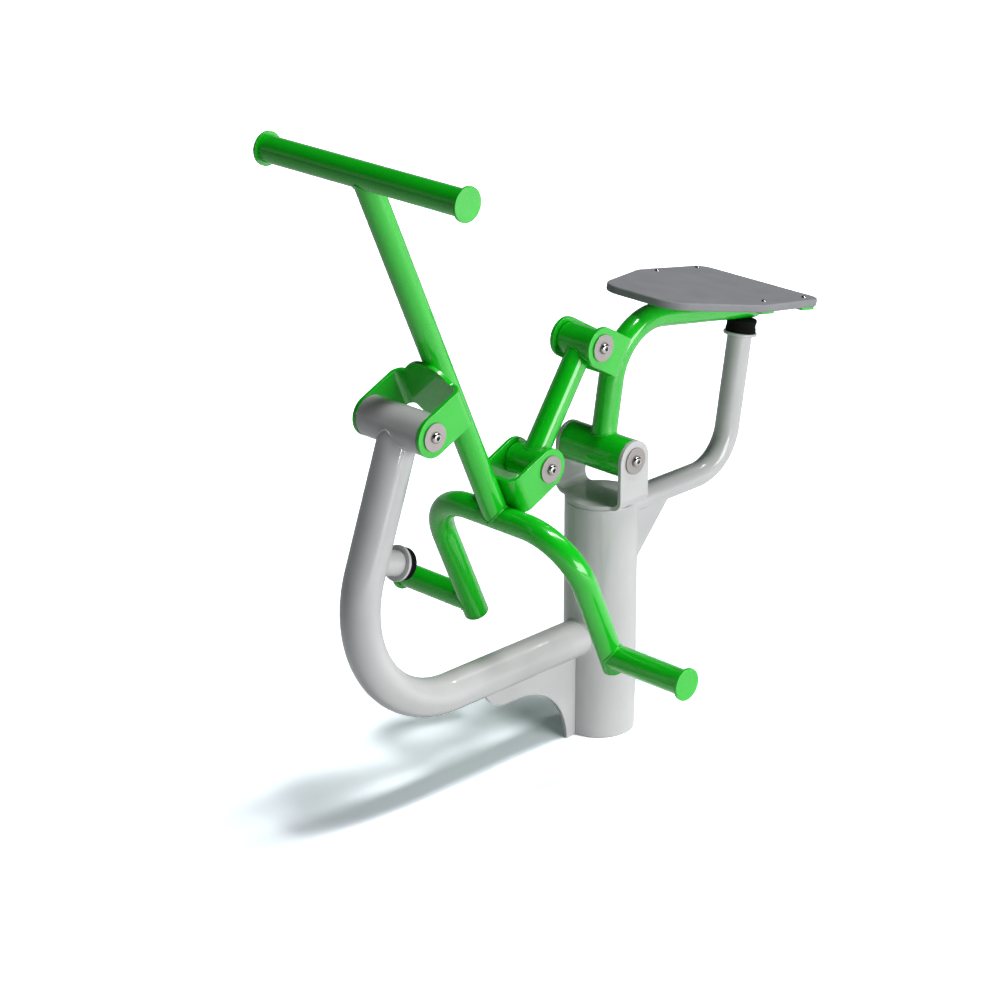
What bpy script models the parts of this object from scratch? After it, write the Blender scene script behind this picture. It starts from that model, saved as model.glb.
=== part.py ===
"""Outdoor gym rider: a seat on a rocking lever, moved by a second lever with a handlebar and foot pegs.

Units are metres. X points forward, from the seat to the handlebar, Y to the rider's left and Z up. The origin is
the centre of the post's foot, at ground level. Each lever is modelled upright in its own frame, whose origin is
its pivot, and an empty on that pivot leans it.
"""

import math

import bmesh
import bpy
from mathutils import Matrix, Vector

# Clearances
CLEAR = 0.0003  # between pieces that touch
OVERRUN = 0.02  # how far a cutter runs past what it cuts

# Tubes
POST_RADIUS, POST_WALL, POST_HEIGHT = 0.06985, 0.005, 0.4729
POST_FLOOR = 0.010  # thickness of its closed foot
TUBE_RADIUS, TUBE_WALL = 0.02415, 0.0032
BEAM_RADIUS, BEAM_WALL = 0.0365, 0.004
PLATE_THICKNESS = 0.008  # gussets

# Folded brackets
BRACKET_THICKNESS = 0.008
EAR_RADIUS = 0.0385
BRACKET_BEND = 0.022  # outside radius of the fold
BASE_FILLET = 0.010  # between a wide bracket's disc and its ears
WIDE_BRACKET_REACH = 0.096  # pivot to the back of the bracket
LOWER_BRACKET_REACH = 0.0907
UPPER_BRACKET_REACH = 0.0819

# Hubs and pivots
WIDE_HUB_RADIUS, WIDE_HUB_WALL, WIDE_HUB_LENGTH = 0.03805, 0.004, 0.150
LINK_HUB_RADIUS, LINK_HUB_WALL, LINK_HUB_LENGTH = 0.03015, 0.003, 0.076
WIDE_EAR_GAP, LINK_EAR_GAP = 0.152, 0.082  # between a bracket's ears
AXLE_RADIUS = 0.0125
BUSH_PROUD = 0.0007  # past each end of its hub
WASHER_RADIUS, WASHER_THICKNESS = 0.026, 0.003
SCREW_RADIUS, SCREW_LENGTH = 0.006, 0.030
SCREW_HEAD_RADIUS, SCREW_HEAD_HEIGHT = 0.0107, 0.0065
SOCKET_RADIUS, SOCKET_DEPTH = 0.0046, 0.0035

# Front beam
HANDLE_PIVOT_FORWARD, HANDLE_PIVOT_RISE = 0.522, 0.1872  # from the seat lever's pivot
FRONT_BEAM_LEAN = math.radians(19.8)
FRONT_BEAM_Z, FRONT_BEAM_BEND = 0.2034, 0.222
FRONT_STOP_DROP = 0.247  # from the handle pivot along the beam
GUSSET_FOOT = 0.024  # width of the front gusset where it stands on the ground
GUSSET_WEB_HEIGHT = 0.130  # ground to the flat of its lower edge
GUSSET_FLAT = 0.037
GUSSET_NOSE_RADIUS = 0.060

# Rear beam
REAR_BEAM_DROP, REAR_BEAM_BEND = 0.0302, 0.095  # from the post's top
REAR_STOP_INSET = 0.030  # the buffer's centre to the seat arm's end
REAR_GUSSET_LENGTH, REAR_GUSSET_HEIGHT = 0.118, 0.130

# End stops
STOP_FLANGE_RADIUS, STOP_FLANGE_THICKNESS = 0.033, 0.006
BUFFER_RADIUS, BUFFER_EDGE = 0.030, 0.003
FRONT_BUFFER_THICKNESS, REAR_BUFFER_THICKNESS = 0.018, 0.026

# Handle lever, in its own frame: Z runs up along the tube
HANDLE_LEAN = math.radians(24.13)
HANDLEBAR_RISE = 0.460
HANDLEBAR_LENGTH = 0.495  # over the caps
LOWER_PIVOT_DROP = 0.2814
FOOT_CROSS_DROP = 0.318
FOOT_BAR_WIDTH, FOOT_BAR_BEND = 0.362, 0.110  # between the legs' centres
PEG_DROP, PEG_SPREAD = 0.6005, 0.739  # over both pegs' caps
LEG_BELOW_PEG = 0.0315
CAP_RADIUS, CAP_THICKNESS, CAP_EDGE = 0.031, 0.006, 0.002
CAP_SPIGOT = 0.018

# Seat lever, in its own frame: Z runs up along the tube and the seat lies back along -X
SEAT_LEAN = math.radians(9.63)
SEAT_ARM_RISE, SEAT_ARM_BEND = 0.2545, 0.120
SEAT_ARM_INSET = 0.015  # the arm's end to the seat's rear edge
UPPER_PIVOT_ANGLE = math.radians(20.84)  # seen from the centre of the arm's bend
RAIL_WIDTH, RAIL_THICKNESS, RAIL_LENGTH = 0.038, 0.006, 0.300
SEAT_THICKNESS, SEAT_EDGE = 0.015, 0.003
SEAT_FRONT = 0.040  # pivot to the seat's front edge
SEAT_LENGTH, SEAT_WIDEST_INSET = 0.371, 0.187  # its widest place is that far before its rear edge
SEAT_FRONT_WIDTH, SEAT_WIDEST, SEAT_REAR_WIDTH = 0.176, 0.321, 0.306
SEAT_CORNER, SEAT_REAR_CORNER = 0.060, 0.028
SEAT_SCREW_INSET, SEAT_SCREW_PITCH, SEAT_SCREW_SPREAD = 0.0365, 0.121, 0.270  # inset from the rear edge
SEAT_SCREW_RADIUS, SEAT_SCREW_LENGTH = 0.003, 0.025
SEAT_SCREW_HEAD_RADIUS, SEAT_SCREW_HEAD_HEIGHT = 0.00525, 0.0033
SEAT_SOCKET_RADIUS, SEAT_SOCKET_DEPTH = 0.0023, 0.002

# Mesh counts
ROUND, LARGE_ROUND, SMALL_ROUND = 20, 32, 12
BEND_STEPS, CORNER_STEPS = 8, 4

Y_AXIS, Z_AXIS = Vector((0, 1, 0)), Vector((0, 0, 1))


def material(name, colour, roughness, metallic):
    made = bpy.data.materials.new(name)
    made.use_nodes = True
    made.diffuse_color = (*colour, 1)
    shader = made.node_tree.nodes["Principled BSDF"]
    shader.inputs["Base Color"].default_value = (*colour, 1)
    shader.inputs["Roughness"].default_value = roughness
    shader.inputs["Metallic"].default_value = metallic
    return made


def pivot_empty(name, location, lean):
    """An empty on a pivot, leaning forward by the given angle."""
    empty = bpy.data.objects.new(name, None)
    bpy.context.collection.objects.link(empty)
    empty.matrix_world = Matrix.Translation(location) @ Matrix.Rotation(lean, 4, "Y")
    return empty


def add_object(name, bm, look=None, parent=None):
    bmesh.ops.recalc_face_normals(bm, faces=bm.faces)
    mesh = bpy.data.meshes.new(name)
    bm.to_mesh(mesh)
    bm.free()
    obj = bpy.data.objects.new(name, mesh)
    bpy.context.collection.objects.link(obj)
    if look:
        mesh.materials.append(look)
    if parent:
        obj.parent = parent
    mesh.shade_smooth()
    mesh.set_sharp_from_angle(angle=math.radians(35))
    return obj


def boolean(obj, cutters, operation="DIFFERENCE"):
    """Applies each cutter to the object in turn and removes the cutters. All lie in the object's own frame."""
    parent, obj.parent = obj.parent, None
    for cutter in cutters:
        cutter.hide_render = True
        cutter.display_type = "WIRE"
        step = obj.modifiers.new(operation.title(), "BOOLEAN")
        step.operation = operation
        step.object = cutter
    bpy.context.view_layer.update()
    evaluated = obj.evaluated_get(bpy.context.evaluated_depsgraph_get())
    mesh = bpy.data.meshes.new_from_object(evaluated)
    mesh.name = obj.name
    obj.modifiers.clear()
    obj.data = mesh
    obj.parent = parent
    for cutter in cutters:
        bpy.data.objects.remove(cutter)
    mesh.shade_smooth()
    mesh.set_sharp_from_angle(angle=math.radians(35))
    return obj


def along(start, direction):
    """The matrix whose Z runs along the direction, from the start point."""
    return Matrix.Translation(start) @ Vector(direction).to_track_quat("Z", "Y").to_matrix().to_4x4()


def turned(name, profile, place, look=None, parent=None, count=ROUND):
    """A profile of (radius, height) points, turned round the place's Z. It is solid where it ends on the axis."""
    bm = bmesh.new()
    rings = []
    for radius, height in profile:
        if radius == 0:
            rings.append([bm.verts.new(place @ Vector((0, 0, height)))] * count)
            continue
        turns = [2 * math.pi * k / count for k in range(count)]
        rings.append([bm.verts.new(place @ Vector((radius * math.cos(a), radius * math.sin(a), height))) for a in turns])
    hollow = profile[0][0] and profile[-1][0]
    pairs = list(zip(rings, rings[1:])) + ([(rings[-1], rings[0])] if hollow else [])
    for lower, upper in pairs:
        for k in range(count):
            corners = (lower[k], lower[(k + 1) % count], upper[(k + 1) % count], upper[k])
            bm.faces.new(dict.fromkeys(corners))
    return add_object(name, bm, look, parent)


def rod(name, start, direction, radius, length, look=None, parent=None, count=ROUND):
    profile = [(0, 0), (radius, 0), (radius, length), (0, length)]
    return turned(name, profile, along(start, direction), look, parent, count)


def cross_rod(name, x, z, radius, width, look=None, parent=None, count=ROUND):
    """A round bar along Y, centred on the XZ plane."""
    return rod(name, (x, -width / 2, z), Y_AXIS, radius, width, look, parent, count)


def round_cutter(start, direction, radius, length, count=LARGE_ROUND):
    """A rod whose flats, not its corners, stand clear of a round piece of this radius."""
    return rod("cutter", start, direction, (radius + CLEAR) / math.cos(math.pi / count), length, count=count)


def loose_radius(bore, count=ROUND):
    """The radius of a round piece whose corners clear the flats of this bore."""
    return bore * math.cos(math.pi / count) - CLEAR


def cross_cutter(x, z, radius, width, count=LARGE_ROUND):
    return round_cutter((x, -width / 2, z), Y_AXIS, radius, width, count)


def cross_ring(name, x, z, outer, inner, width, look, parent, count=ROUND):
    """A tube along Y, centred on the XZ plane."""
    profile = [(inner, 0), (outer, 0), (outer, width), (inner, width)]
    return turned(name, profile, along((x, -width / 2, z), Y_AXIS), look, parent, count)


def plate_mesh(outline, thickness):
    """A flat plate's mesh, centred on the XY plane, with its lower and its upper loop of points."""
    bm = bmesh.new()
    lower = [bm.verts.new((u, v, -thickness / 2)) for u, v in outline]
    upper = [bm.verts.new((u, v, thickness / 2)) for u, v in outline]
    bm.faces.new(list(reversed(lower)))
    bm.faces.new(upper)
    for corners in zip(lower, lower[1:] + lower[:1], upper[1:] + upper[:1], upper):
        bm.faces.new(corners)
    return bm, lower, upper


def prism(name, outline, place, thickness, look=None, parent=None, edge=0):
    """An outline in the place's XY, as thick as given, centred on that plane, with its rims broken by edge."""
    bm, lower, upper = plate_mesh(outline, thickness)
    if edge:
        rims = {e for v in lower + upper for e in v.link_edges}
        uprights = {e for e in rims if (e.verts[0] in lower) != (e.verts[1] in lower)}
        bmesh.ops.bevel(bm, geom=list(rims - uprights), offset=edge, segments=2, affect="EDGES", profile=0.5)
    bm.transform(place)
    return add_object(name, bm, look, parent)


def rounded(corners, radii, steps=CORNER_STEPS, closed=True):
    """A path through the corners, each replaced by an arc of its radius. A radius of 0 keeps the corner."""
    points = [Vector(c) for c in corners]
    path = []
    for k, (corner, radius) in enumerate(zip(points, radii)):
        if radius == 0 or (not closed and k in (0, len(points) - 1)):
            path.append(corner)
            continue
        back = (points[k - 1] - corner).normalized()
        ahead = (points[(k + 1) % len(points)] - corner).normalized()
        half = back.angle(ahead) / 2
        centre = corner + (back + ahead).normalized() * radius / math.sin(half)
        first = corner + back * radius / math.tan(half) - centre
        last = corner + ahead * radius / math.tan(half) - centre
        turn = math.pi - 2 * half
        for n in range(steps + 1):
            share = n / steps
            mix = (math.sin((1 - share) * turn), math.sin(share * turn))
            path.append(centre + (first * mix[0] + last * mix[1]) / math.sin(turn))
    return path


def swept_tube(name, path, side, radius, wall, look, parent, count=ROUND):
    """A tube along a flat path, solid if it has no wall. side is the unit vector square to the path's plane."""
    bm = bmesh.new()
    outer, inner = [], []
    for k, point in enumerate(path):
        ahead = (path[min(k + 1, len(path) - 1)] - point).normalized()
        back = (point - path[max(k - 1, 0)]).normalized()
        tangent = (ahead + back).normalized()
        stretch = 1 / math.cos(ahead.angle(back) / 2) if 0 < k < len(path) - 1 else 1
        normal = side.cross(tangent) * stretch
        for rings, size in ((outer, radius), (inner, radius - wall)) if wall else ((outer, radius),):
            turns = [2 * math.pi * (n + 0.5) / count for n in range(count)]
            rings.append([bm.verts.new(point + size * (math.cos(a) * normal + math.sin(a) * side)) for a in turns])
    loops = list(zip(outer, outer[1:])) + list(zip(inner, inner[1:]))
    if wall:
        loops += [(outer[0], inner[0]), (outer[-1], inner[-1])]
    else:
        bm.faces.new(outer[0])
        bm.faces.new(outer[-1])
    for one, other in loops:
        for n in range(count):
            bm.faces.new((one[n], one[(n + 1) % count], other[(n + 1) % count], other[n]))
    return add_object(name, bm, look, parent)


def straight_tube(name, start, end, look, parent, radius=TUBE_RADIUS, wall=TUBE_WALL, count=ROUND):
    side = Y_AXIS if abs((Vector(end) - Vector(start)).normalized().y) < 0.5 else Z_AXIS
    return swept_tube(name, [Vector(start), Vector(end)], side, radius, wall, look, parent, count)


def arc(centre, radius, start, end, steps):
    angles = [start + (end - start) * n / steps for n in range(steps + 1)]
    return [(centre[0] + radius * math.cos(a), centre[1] + radius * math.sin(a)) for a in angles]


def ear_bracket(name, pivot, back, reach, ear_gap, look, parent, disc=0):
    """A folded bracket: a web square to the back direction, at reach from the pivot, and an ear each side of the hub.

    It is drawn flat, as (s, w) points with s along the plate and across its folds, and then folded round the hub.
    With a disc radius, the web widens into a round base.
    """
    flat = ear_gap / 2 + BRACKET_THICKNESS - BRACKET_BEND
    middle = BRACKET_BEND - BRACKET_THICKNESS / 2  # radius at half the plate's thickness
    ear_foot = flat + middle * math.pi / 2
    quarter = arc((ear_foot + reach - BRACKET_BEND, 0), EAR_RADIUS, 0, math.pi / 2, BEND_STEPS)
    if disc:
        offset = EAR_RADIUS + BASE_FILLET
        rise = math.sqrt((disc + BASE_FILLET) ** 2 - offset**2)
        lean = math.atan2(rise, offset)
        round_base = arc((offset, rise), BASE_FILLET, math.pi, math.pi + lean, CORNER_STEPS)
        round_base += arc((0, 0), disc, lean, 0, CORNER_STEPS)[1:-1]
        quarter += [(s, w) for w, s in round_base]
    half = quarter + [(0, disc)] * bool(disc) + [(-s, w) for s, w in reversed(quarter)]
    bm = plate_mesh(half + [(s, -w) for s, w in reversed(half[1:-1])], BRACKET_THICKNESS)[0]
    for n in range(CORNER_STEPS + 1):
        line = flat + middle * math.pi / 2 * n / CORNER_STEPS
        for fold in (line, -line):
            whole = [*bm.verts, *bm.edges, *bm.faces]
            bmesh.ops.bisect_plane(bm, geom=whole, plane_co=(fold, 0, 0), plane_no=(1, 0, 0))
    for vert in bm.verts:
        s, w, outward = vert.co
        turn = min(max((abs(s) - flat) / middle, 0), math.pi / 2)
        aside = min(abs(s), flat) + (middle + outward) * math.sin(turn)
        height = BRACKET_BEND - reach - (middle + outward) * math.cos(turn) + max(abs(s) - ear_foot, 0)
        vert.co = (math.copysign(aside, s), w, height)
    up = -Vector((back[0], 0, back[1]))
    turned_up = Matrix((Y_AXIS, up.cross(Y_AXIS), up)).transposed().to_4x4()
    bm.transform(Matrix.Translation((pivot[0], 0, pivot[1])) @ turned_up)
    bracket = add_object(name, bm, look, parent)
    width = ear_gap + 2 * (BRACKET_THICKNESS + OVERRUN)
    return boolean(bracket, [cross_cutter(*pivot, SCREW_RADIUS, width, SMALL_ROUND)])


def hex_socket_screw(name, start, direction, shank, head, socket, look, parent):
    """A button-head screw, each size a pair. start is under its head, and direction points along its shank."""
    (radius, length), (head_radius, head_height), (socket_radius, socket_depth) = shank, head, socket
    dome = arc((0, 0), 1, 0, math.pi / 2, 3)
    profile = [(0, length), (radius, length), (radius, 0), (head_radius, 0)]
    profile += [(socket_radius + (head_radius - socket_radius) * c, -head_height * s) for c, s in dome[1:]]
    profile += [(0, -head_height)]
    screw = turned(name, profile, along(start, direction), look, parent, SMALL_ROUND)
    top = Vector(start) - Vector(direction) * head_height
    begin = top - Vector(direction) * OVERRUN
    return boolean(screw, [rod(name + "_socket", begin, direction, socket_radius, OVERRUN + socket_depth, count=6)])


def pivot_set(name, ear_gap, pivot, ear_parent, hub_length, hub_bore, hub_pivot, hub_parent, opened=False):
    """What joins a bracket's ears to the hub between them: an axle, a bush round it, and a washer and screw each side.

    The axle lies between the ears, and a screw through each ear holds it. The pivot is given in the frame of the
    ears and in that of the hub. An opened pivot's axle goes with its hub, and its screws end inside the ears.
    """
    bore = SCREW_RADIUS + CLEAR
    length = ear_gap - 2 * CLEAR
    tapped = SCREW_LENGTH - WASHER_THICKNESS - BRACKET_THICKNESS
    profile = [(0, tapped), (bore, tapped), (bore, 0), (AXLE_RADIUS, 0), (AXLE_RADIUS, length), (bore, length),
               (bore, length - tapped), (0, length - tapped)]
    (x, z), axle_parent = (hub_pivot, hub_parent) if opened else (pivot, ear_parent)
    turned(f"{name}_axle", profile, along((x, -length / 2, z), Y_AXIS), STEEL, axle_parent)
    cross_ring(f"{name}_bush", *hub_pivot, loose_radius(hub_bore), (AXLE_RADIUS + CLEAR) / math.cos(math.pi / ROUND),
               hub_length + 2 * BUSH_PROUD, PLASTIC, hub_parent)
    x, z = pivot
    outside = ear_gap / 2 + BRACKET_THICKNESS + CLEAR
    screw_length = WASHER_THICKNESS + BRACKET_THICKNESS + CLEAR if opened else SCREW_LENGTH
    for side, sign in (("left", 1), ("right", -1)):
        profile = [(bore, 0), (WASHER_RADIUS, 0), (WASHER_RADIUS, WASHER_THICKNESS), (bore, WASHER_THICKNESS)]
        turned(f"{name}_washer_{side}", profile, along((x, sign * outside, z), sign * Y_AXIS), STEEL, ear_parent)
        under_head = (x, sign * (outside + WASHER_THICKNESS + CLEAR), z)
        hex_socket_screw(f"{name}_screw_{side}", under_head, -sign * Y_AXIS, (SCREW_RADIUS, screw_length),
                         (SCREW_HEAD_RADIUS, SCREW_HEAD_HEIGHT), (SOCKET_RADIUS, SOCKET_DEPTH), STEEL, ear_parent)


def end_cap(name, place, look, parent):
    """A flanged cap. The place's Z points out of the tube, from the tube's end."""
    bore = loose_radius(TUBE_RADIUS - TUBE_WALL)
    profile = [(0, -CAP_SPIGOT), (bore, -CAP_SPIGOT), (bore, CLEAR), (CAP_RADIUS, CLEAR),
               (CAP_RADIUS, CAP_THICKNESS - CAP_EDGE), (CAP_RADIUS - CAP_EDGE, CAP_THICKNESS), (0, CAP_THICKNESS)]
    return turned(name, profile, place, look, parent)


def stop(name, root, direction, flange_look, rubber_look, parent, thickness):
    """A flange and the rubber buffer on it. root is where the flange's back stands."""
    place = along(root, direction)
    flange = [(0, 0), (STOP_FLANGE_RADIUS, 0), (STOP_FLANGE_RADIUS, STOP_FLANGE_THICKNESS), (0, STOP_FLANGE_THICKNESS)]
    turned(f"{name}_stop_flange", flange, place, flange_look, parent)
    low = STOP_FLANGE_THICKNESS + CLEAR
    high = low + thickness
    rubber = [(0, low), (BUFFER_RADIUS, low), (BUFFER_RADIUS, high - BUFFER_EDGE), (BUFFER_RADIUS - BUFFER_EDGE, high),
              (0, high)]
    turned(f"{name}_buffer", rubber, place, rubber_look, parent)


bpy.ops.object.select_all(action="DESELECT")
for old in list(bpy.data.objects):
    bpy.data.objects.remove(old)

GREEN = material("green_powder_coat", (0.008, 0.42, 0.015), 0.25, 0.0)
GREY = material("grey_powder_coat", (0.60, 0.60, 0.62), 0.35, 0.0)
SEAT_GREY = material("seat_plastic", (0.22, 0.22, 0.23), 0.5, 0.0)
RUBBER = material("black_rubber", (0.012, 0.012, 0.012), 0.6, 0.0)
STEEL = material("stainless_steel", (0.62, 0.60, 0.60), 0.3, 1.0)
PLASTIC = material("bush_plastic", (0.75, 0.75, 0.72), 0.45, 0.0)

# Places that several pieces share
seat_pivot_z = POST_HEIGHT + CLEAR + WIDE_BRACKET_REACH
handle_pivot_z = seat_pivot_z + HANDLE_PIVOT_RISE
lever_x = -(WIDE_BRACKET_REACH + CLEAR + TUBE_RADIUS)  # the handle lever's tube, behind its pivot
lower_pivot = (lever_x - TUBE_RADIUS - CLEAR - LOWER_BRACKET_REACH, -LOWER_PIVOT_DROP)
bend_centre = (-SEAT_ARM_BEND, SEAT_ARM_RISE - SEAT_ARM_BEND)
upper_reach = SEAT_ARM_BEND + TUBE_RADIUS + CLEAR + UPPER_BRACKET_REACH
upper_way = (math.cos(UPPER_PIVOT_ANGLE), math.sin(UPPER_PIVOT_ANGLE))
upper_pivot = (bend_centre[0] + upper_reach * upper_way[0], bend_centre[1] + upper_reach * upper_way[1])
seat_rear = SEAT_FRONT + SEAT_LENGTH
seat_arm_end = seat_rear - SEAT_ARM_INSET

frame = pivot_empty("frame", (0, 0, 0), 0)
handle_lever = pivot_empty("handle_lever", (HANDLE_PIVOT_FORWARD, 0, handle_pivot_z), HANDLE_LEAN)
seat_lever = pivot_empty("seat_lever", (0, 0, seat_pivot_z), -SEAT_LEAN)
lower_point = handle_lever.matrix_world @ Vector((lower_pivot[0], 0, lower_pivot[1]))
upper_point = seat_lever.matrix_world @ Vector((upper_pivot[0], 0, upper_pivot[1]))
link_way = upper_point - lower_point
link = pivot_empty("link", upper_point, math.atan2(link_way.x, link_way.z))

# Post, closed at its foot, and the bracket on top of it
post_bore = POST_RADIUS - POST_WALL
post_profile = [(0, 0), (POST_RADIUS, 0), (POST_RADIUS, POST_HEIGHT), (post_bore, POST_HEIGHT),
                (post_bore, POST_FLOOR), (0, POST_FLOOR)]
turned("post", post_profile, Matrix.Identity(4), GREY, frame, LARGE_ROUND)
ear_bracket("post_clevis", (0, seat_pivot_z), (0, -1), WIDE_BRACKET_REACH, WIDE_EAR_GAP, GREY, frame, POST_RADIUS)

# Front beam: forward from the post, then up and back to the handle pivot's hub
beam_up = Vector((-math.sin(FRONT_BEAM_LEAN), 0, math.cos(FRONT_BEAM_LEAN)))
handle_point = Vector((HANDLE_PIVOT_FORWARD, 0, handle_pivot_z))
front_corner = handle_point - beam_up * (handle_pivot_z - FRONT_BEAM_Z) / beam_up.z
front_path = rounded([Vector((0, 0, FRONT_BEAM_Z)), front_corner, handle_point], [0, FRONT_BEAM_BEND, 0], BEND_STEPS,
                     closed=False)
front_beam = swept_tube("front_beam", front_path, Y_AXIS, BEAM_RADIUS, BEAM_WALL, GREY, frame)
post_cutter_length = POST_HEIGHT + 2 * OVERRUN
boolean(front_beam, [
    round_cutter((0, 0, -OVERRUN), Z_AXIS, POST_RADIUS, post_cutter_length),
    cross_cutter(HANDLE_PIVOT_FORWARD, handle_pivot_z, WIDE_HUB_RADIUS, WIDE_HUB_LENGTH),
])
cross_ring("front_hub", HANDLE_PIVOT_FORWARD, handle_pivot_z, WIDE_HUB_RADIUS, WIDE_HUB_RADIUS - WIDE_HUB_WALL,
           WIDE_HUB_LENGTH, GREY, frame, LARGE_ROUND)

# Front gusset, with a quarter-round opening over the ground and a rounded nose under the beam
gusset_top = FRONT_BEAM_Z - BEAM_RADIUS - CLEAR
gusset_back = POST_RADIUS + CLEAR
opening_centre = (gusset_back + GUSSET_FOOT + GUSSET_WEB_HEIGHT, 0)
nose_centre = (opening_centre[0] + GUSSET_FLAT, GUSSET_WEB_HEIGHT + GUSSET_NOSE_RADIUS)
nose_turn = math.acos((nose_centre[1] - gusset_top) / GUSSET_NOSE_RADIUS)
opening = arc(opening_centre, GUSSET_WEB_HEIGHT, math.pi, math.pi / 2, BEND_STEPS)
nose = arc(nose_centre, GUSSET_NOSE_RADIUS, -math.pi / 2, nose_turn - math.pi / 2, CORNER_STEPS)
gusset_outline = [(gusset_back, 0), *opening, *nose, (gusset_back, gusset_top)]
upright_plane = Matrix(((1, 0, 0, 0), (0, 0, -1, 0), (0, 1, 0, 0), (0, 0, 0, 1)))
prism("front_gusset", gusset_outline, upright_plane, PLATE_THICKNESS, GREY, frame)

# Rear beam: back from the post, then up beside the seat lever's lean to the rear buffer
seat_up = Vector((-math.sin(SEAT_LEAN), 0, math.cos(SEAT_LEAN)))
seat_back = Vector((-math.cos(SEAT_LEAN), 0, -math.sin(SEAT_LEAN)))
rear_beam_z = POST_HEIGHT - REAR_BEAM_DROP
arm_underside = SEAT_ARM_RISE - TUBE_RADIUS
rear_flange_rise = arm_underside - 2 * CLEAR - REAR_BUFFER_THICKNESS - STOP_FLANGE_THICKNESS
rear_stop = Vector((0, 0, seat_pivot_z)) + seat_back * (seat_arm_end - REAR_STOP_INSET)
rear_top = rear_stop + seat_up * (rear_flange_rise - CLEAR)
rear_corner = rear_top - seat_up * (rear_top.z - rear_beam_z) / seat_up.z
rear_path = rounded([Vector((0, 0, rear_beam_z)), rear_corner, rear_top], [0, REAR_BEAM_BEND, 0], BEND_STEPS,
                    closed=False)
rear_beam = swept_tube("rear_beam", rear_path, Y_AXIS, TUBE_RADIUS, TUBE_WALL, GREY, frame)
boolean(rear_beam, [round_cutter((0, 0, -OVERRUN), Z_AXIS, POST_RADIUS, post_cutter_length)])
rear_gusset_top = rear_beam_z - TUBE_RADIUS - CLEAR
rear_gusset_outline = [(-gusset_back, rear_gusset_top - REAR_GUSSET_HEIGHT), (-gusset_back, rear_gusset_top),
                       (-gusset_back - REAR_GUSSET_LENGTH, rear_gusset_top)]
prism("rear_gusset", rear_gusset_outline, upright_plane, PLATE_THICKNESS, GREY, frame)
stop("rear", rear_top + seat_up * CLEAR, seat_up, GREY, RUBBER, frame, REAR_BUFFER_THICKNESS)

# Front end stop: a stub on the beam, whose buffer meets the handle lever when the lever lies along the beam
stop_back = Vector((-beam_up.z, 0, beam_up.x))
stop_root = handle_point - beam_up * FRONT_STOP_DROP
buffer_face = WIDE_BRACKET_REACH
flange_back = buffer_face - FRONT_BUFFER_THICKNESS - CLEAR - STOP_FLANGE_THICKNESS
stub = straight_tube("front_stop_stub", stop_root, stop_root + stop_back * (flange_back - CLEAR), GREY, frame)
boolean(stub, [swept_tube("cutter", front_path, Y_AXIS, BEAM_RADIUS + CLEAR, 0, None, None)])
stop("front", stop_root + stop_back * flange_back, stop_back, GREY, RUBBER, frame, FRONT_BUFFER_THICKNESS)

# Handle lever: one long tube with the handlebar on top and the foot bar below
cross_z = -FOOT_CROSS_DROP
lever_tube = straight_tube("lever_tube", (lever_x, 0, cross_z), (lever_x, 0, HANDLEBAR_RISE), GREEN, handle_lever)
boolean(lever_tube, [
    cross_cutter(lever_x, HANDLEBAR_RISE, TUBE_RADIUS, 4 * TUBE_RADIUS),
    cross_cutter(lever_x, cross_z, TUBE_RADIUS, 4 * TUBE_RADIUS),
])
bar_half = HANDLEBAR_LENGTH / 2 - CAP_THICKNESS
straight_tube("handlebar", (lever_x, -bar_half, HANDLEBAR_RISE), (lever_x, bar_half, HANDLEBAR_RISE), GREEN,
              handle_lever)
ear_bracket("lever_front_bracket", (0, 0), (-1, 0), WIDE_BRACKET_REACH, WIDE_EAR_GAP, GREEN, handle_lever,
            POST_RADIUS)
ear_bracket("lever_rear_bracket", lower_pivot, (1, 0), LOWER_BRACKET_REACH, LINK_EAR_GAP, GREEN, handle_lever)

# Foot bar: an upside-down U in the plane of the lever, with a peg out of each leg
leg_y, leg_end = FOOT_BAR_WIDTH / 2, -PEG_DROP - LEG_BELOW_PEG
foot_corners = [Vector((lever_x, -leg_y, leg_end)), Vector((lever_x, -leg_y, cross_z)),
                Vector((lever_x, leg_y, cross_z)), Vector((lever_x, leg_y, leg_end))]
foot_path = rounded(foot_corners, [0, FOOT_BAR_BEND, FOOT_BAR_BEND, 0], BEND_STEPS, closed=False)
swept_tube("foot_bar", foot_path, Vector((1, 0, 0)), TUBE_RADIUS, TUBE_WALL, GREEN, handle_lever)
peg_end = PEG_SPREAD / 2 - CAP_THICKNESS
for side, sign in (("left", 1), ("right", -1)):
    peg = straight_tube(f"foot_peg_{side}", (lever_x, sign * leg_y, -PEG_DROP), (lever_x, sign * peg_end, -PEG_DROP),
                        GREEN, handle_lever)
    leg_start = (lever_x, sign * leg_y, -PEG_DROP - 2 * TUBE_RADIUS)
    boolean(peg, [round_cutter(leg_start, Z_AXIS, TUBE_RADIUS, 4 * TUBE_RADIUS)])
    end_cap(f"foot_peg_cap_{side}", along((lever_x, sign * peg_end, -PEG_DROP), sign * Y_AXIS), GREEN, handle_lever)
    end_cap(f"handlebar_cap_{side}", along((lever_x, sign * bar_half, HANDLEBAR_RISE), sign * Y_AXIS), GREEN,
            handle_lever)

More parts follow.
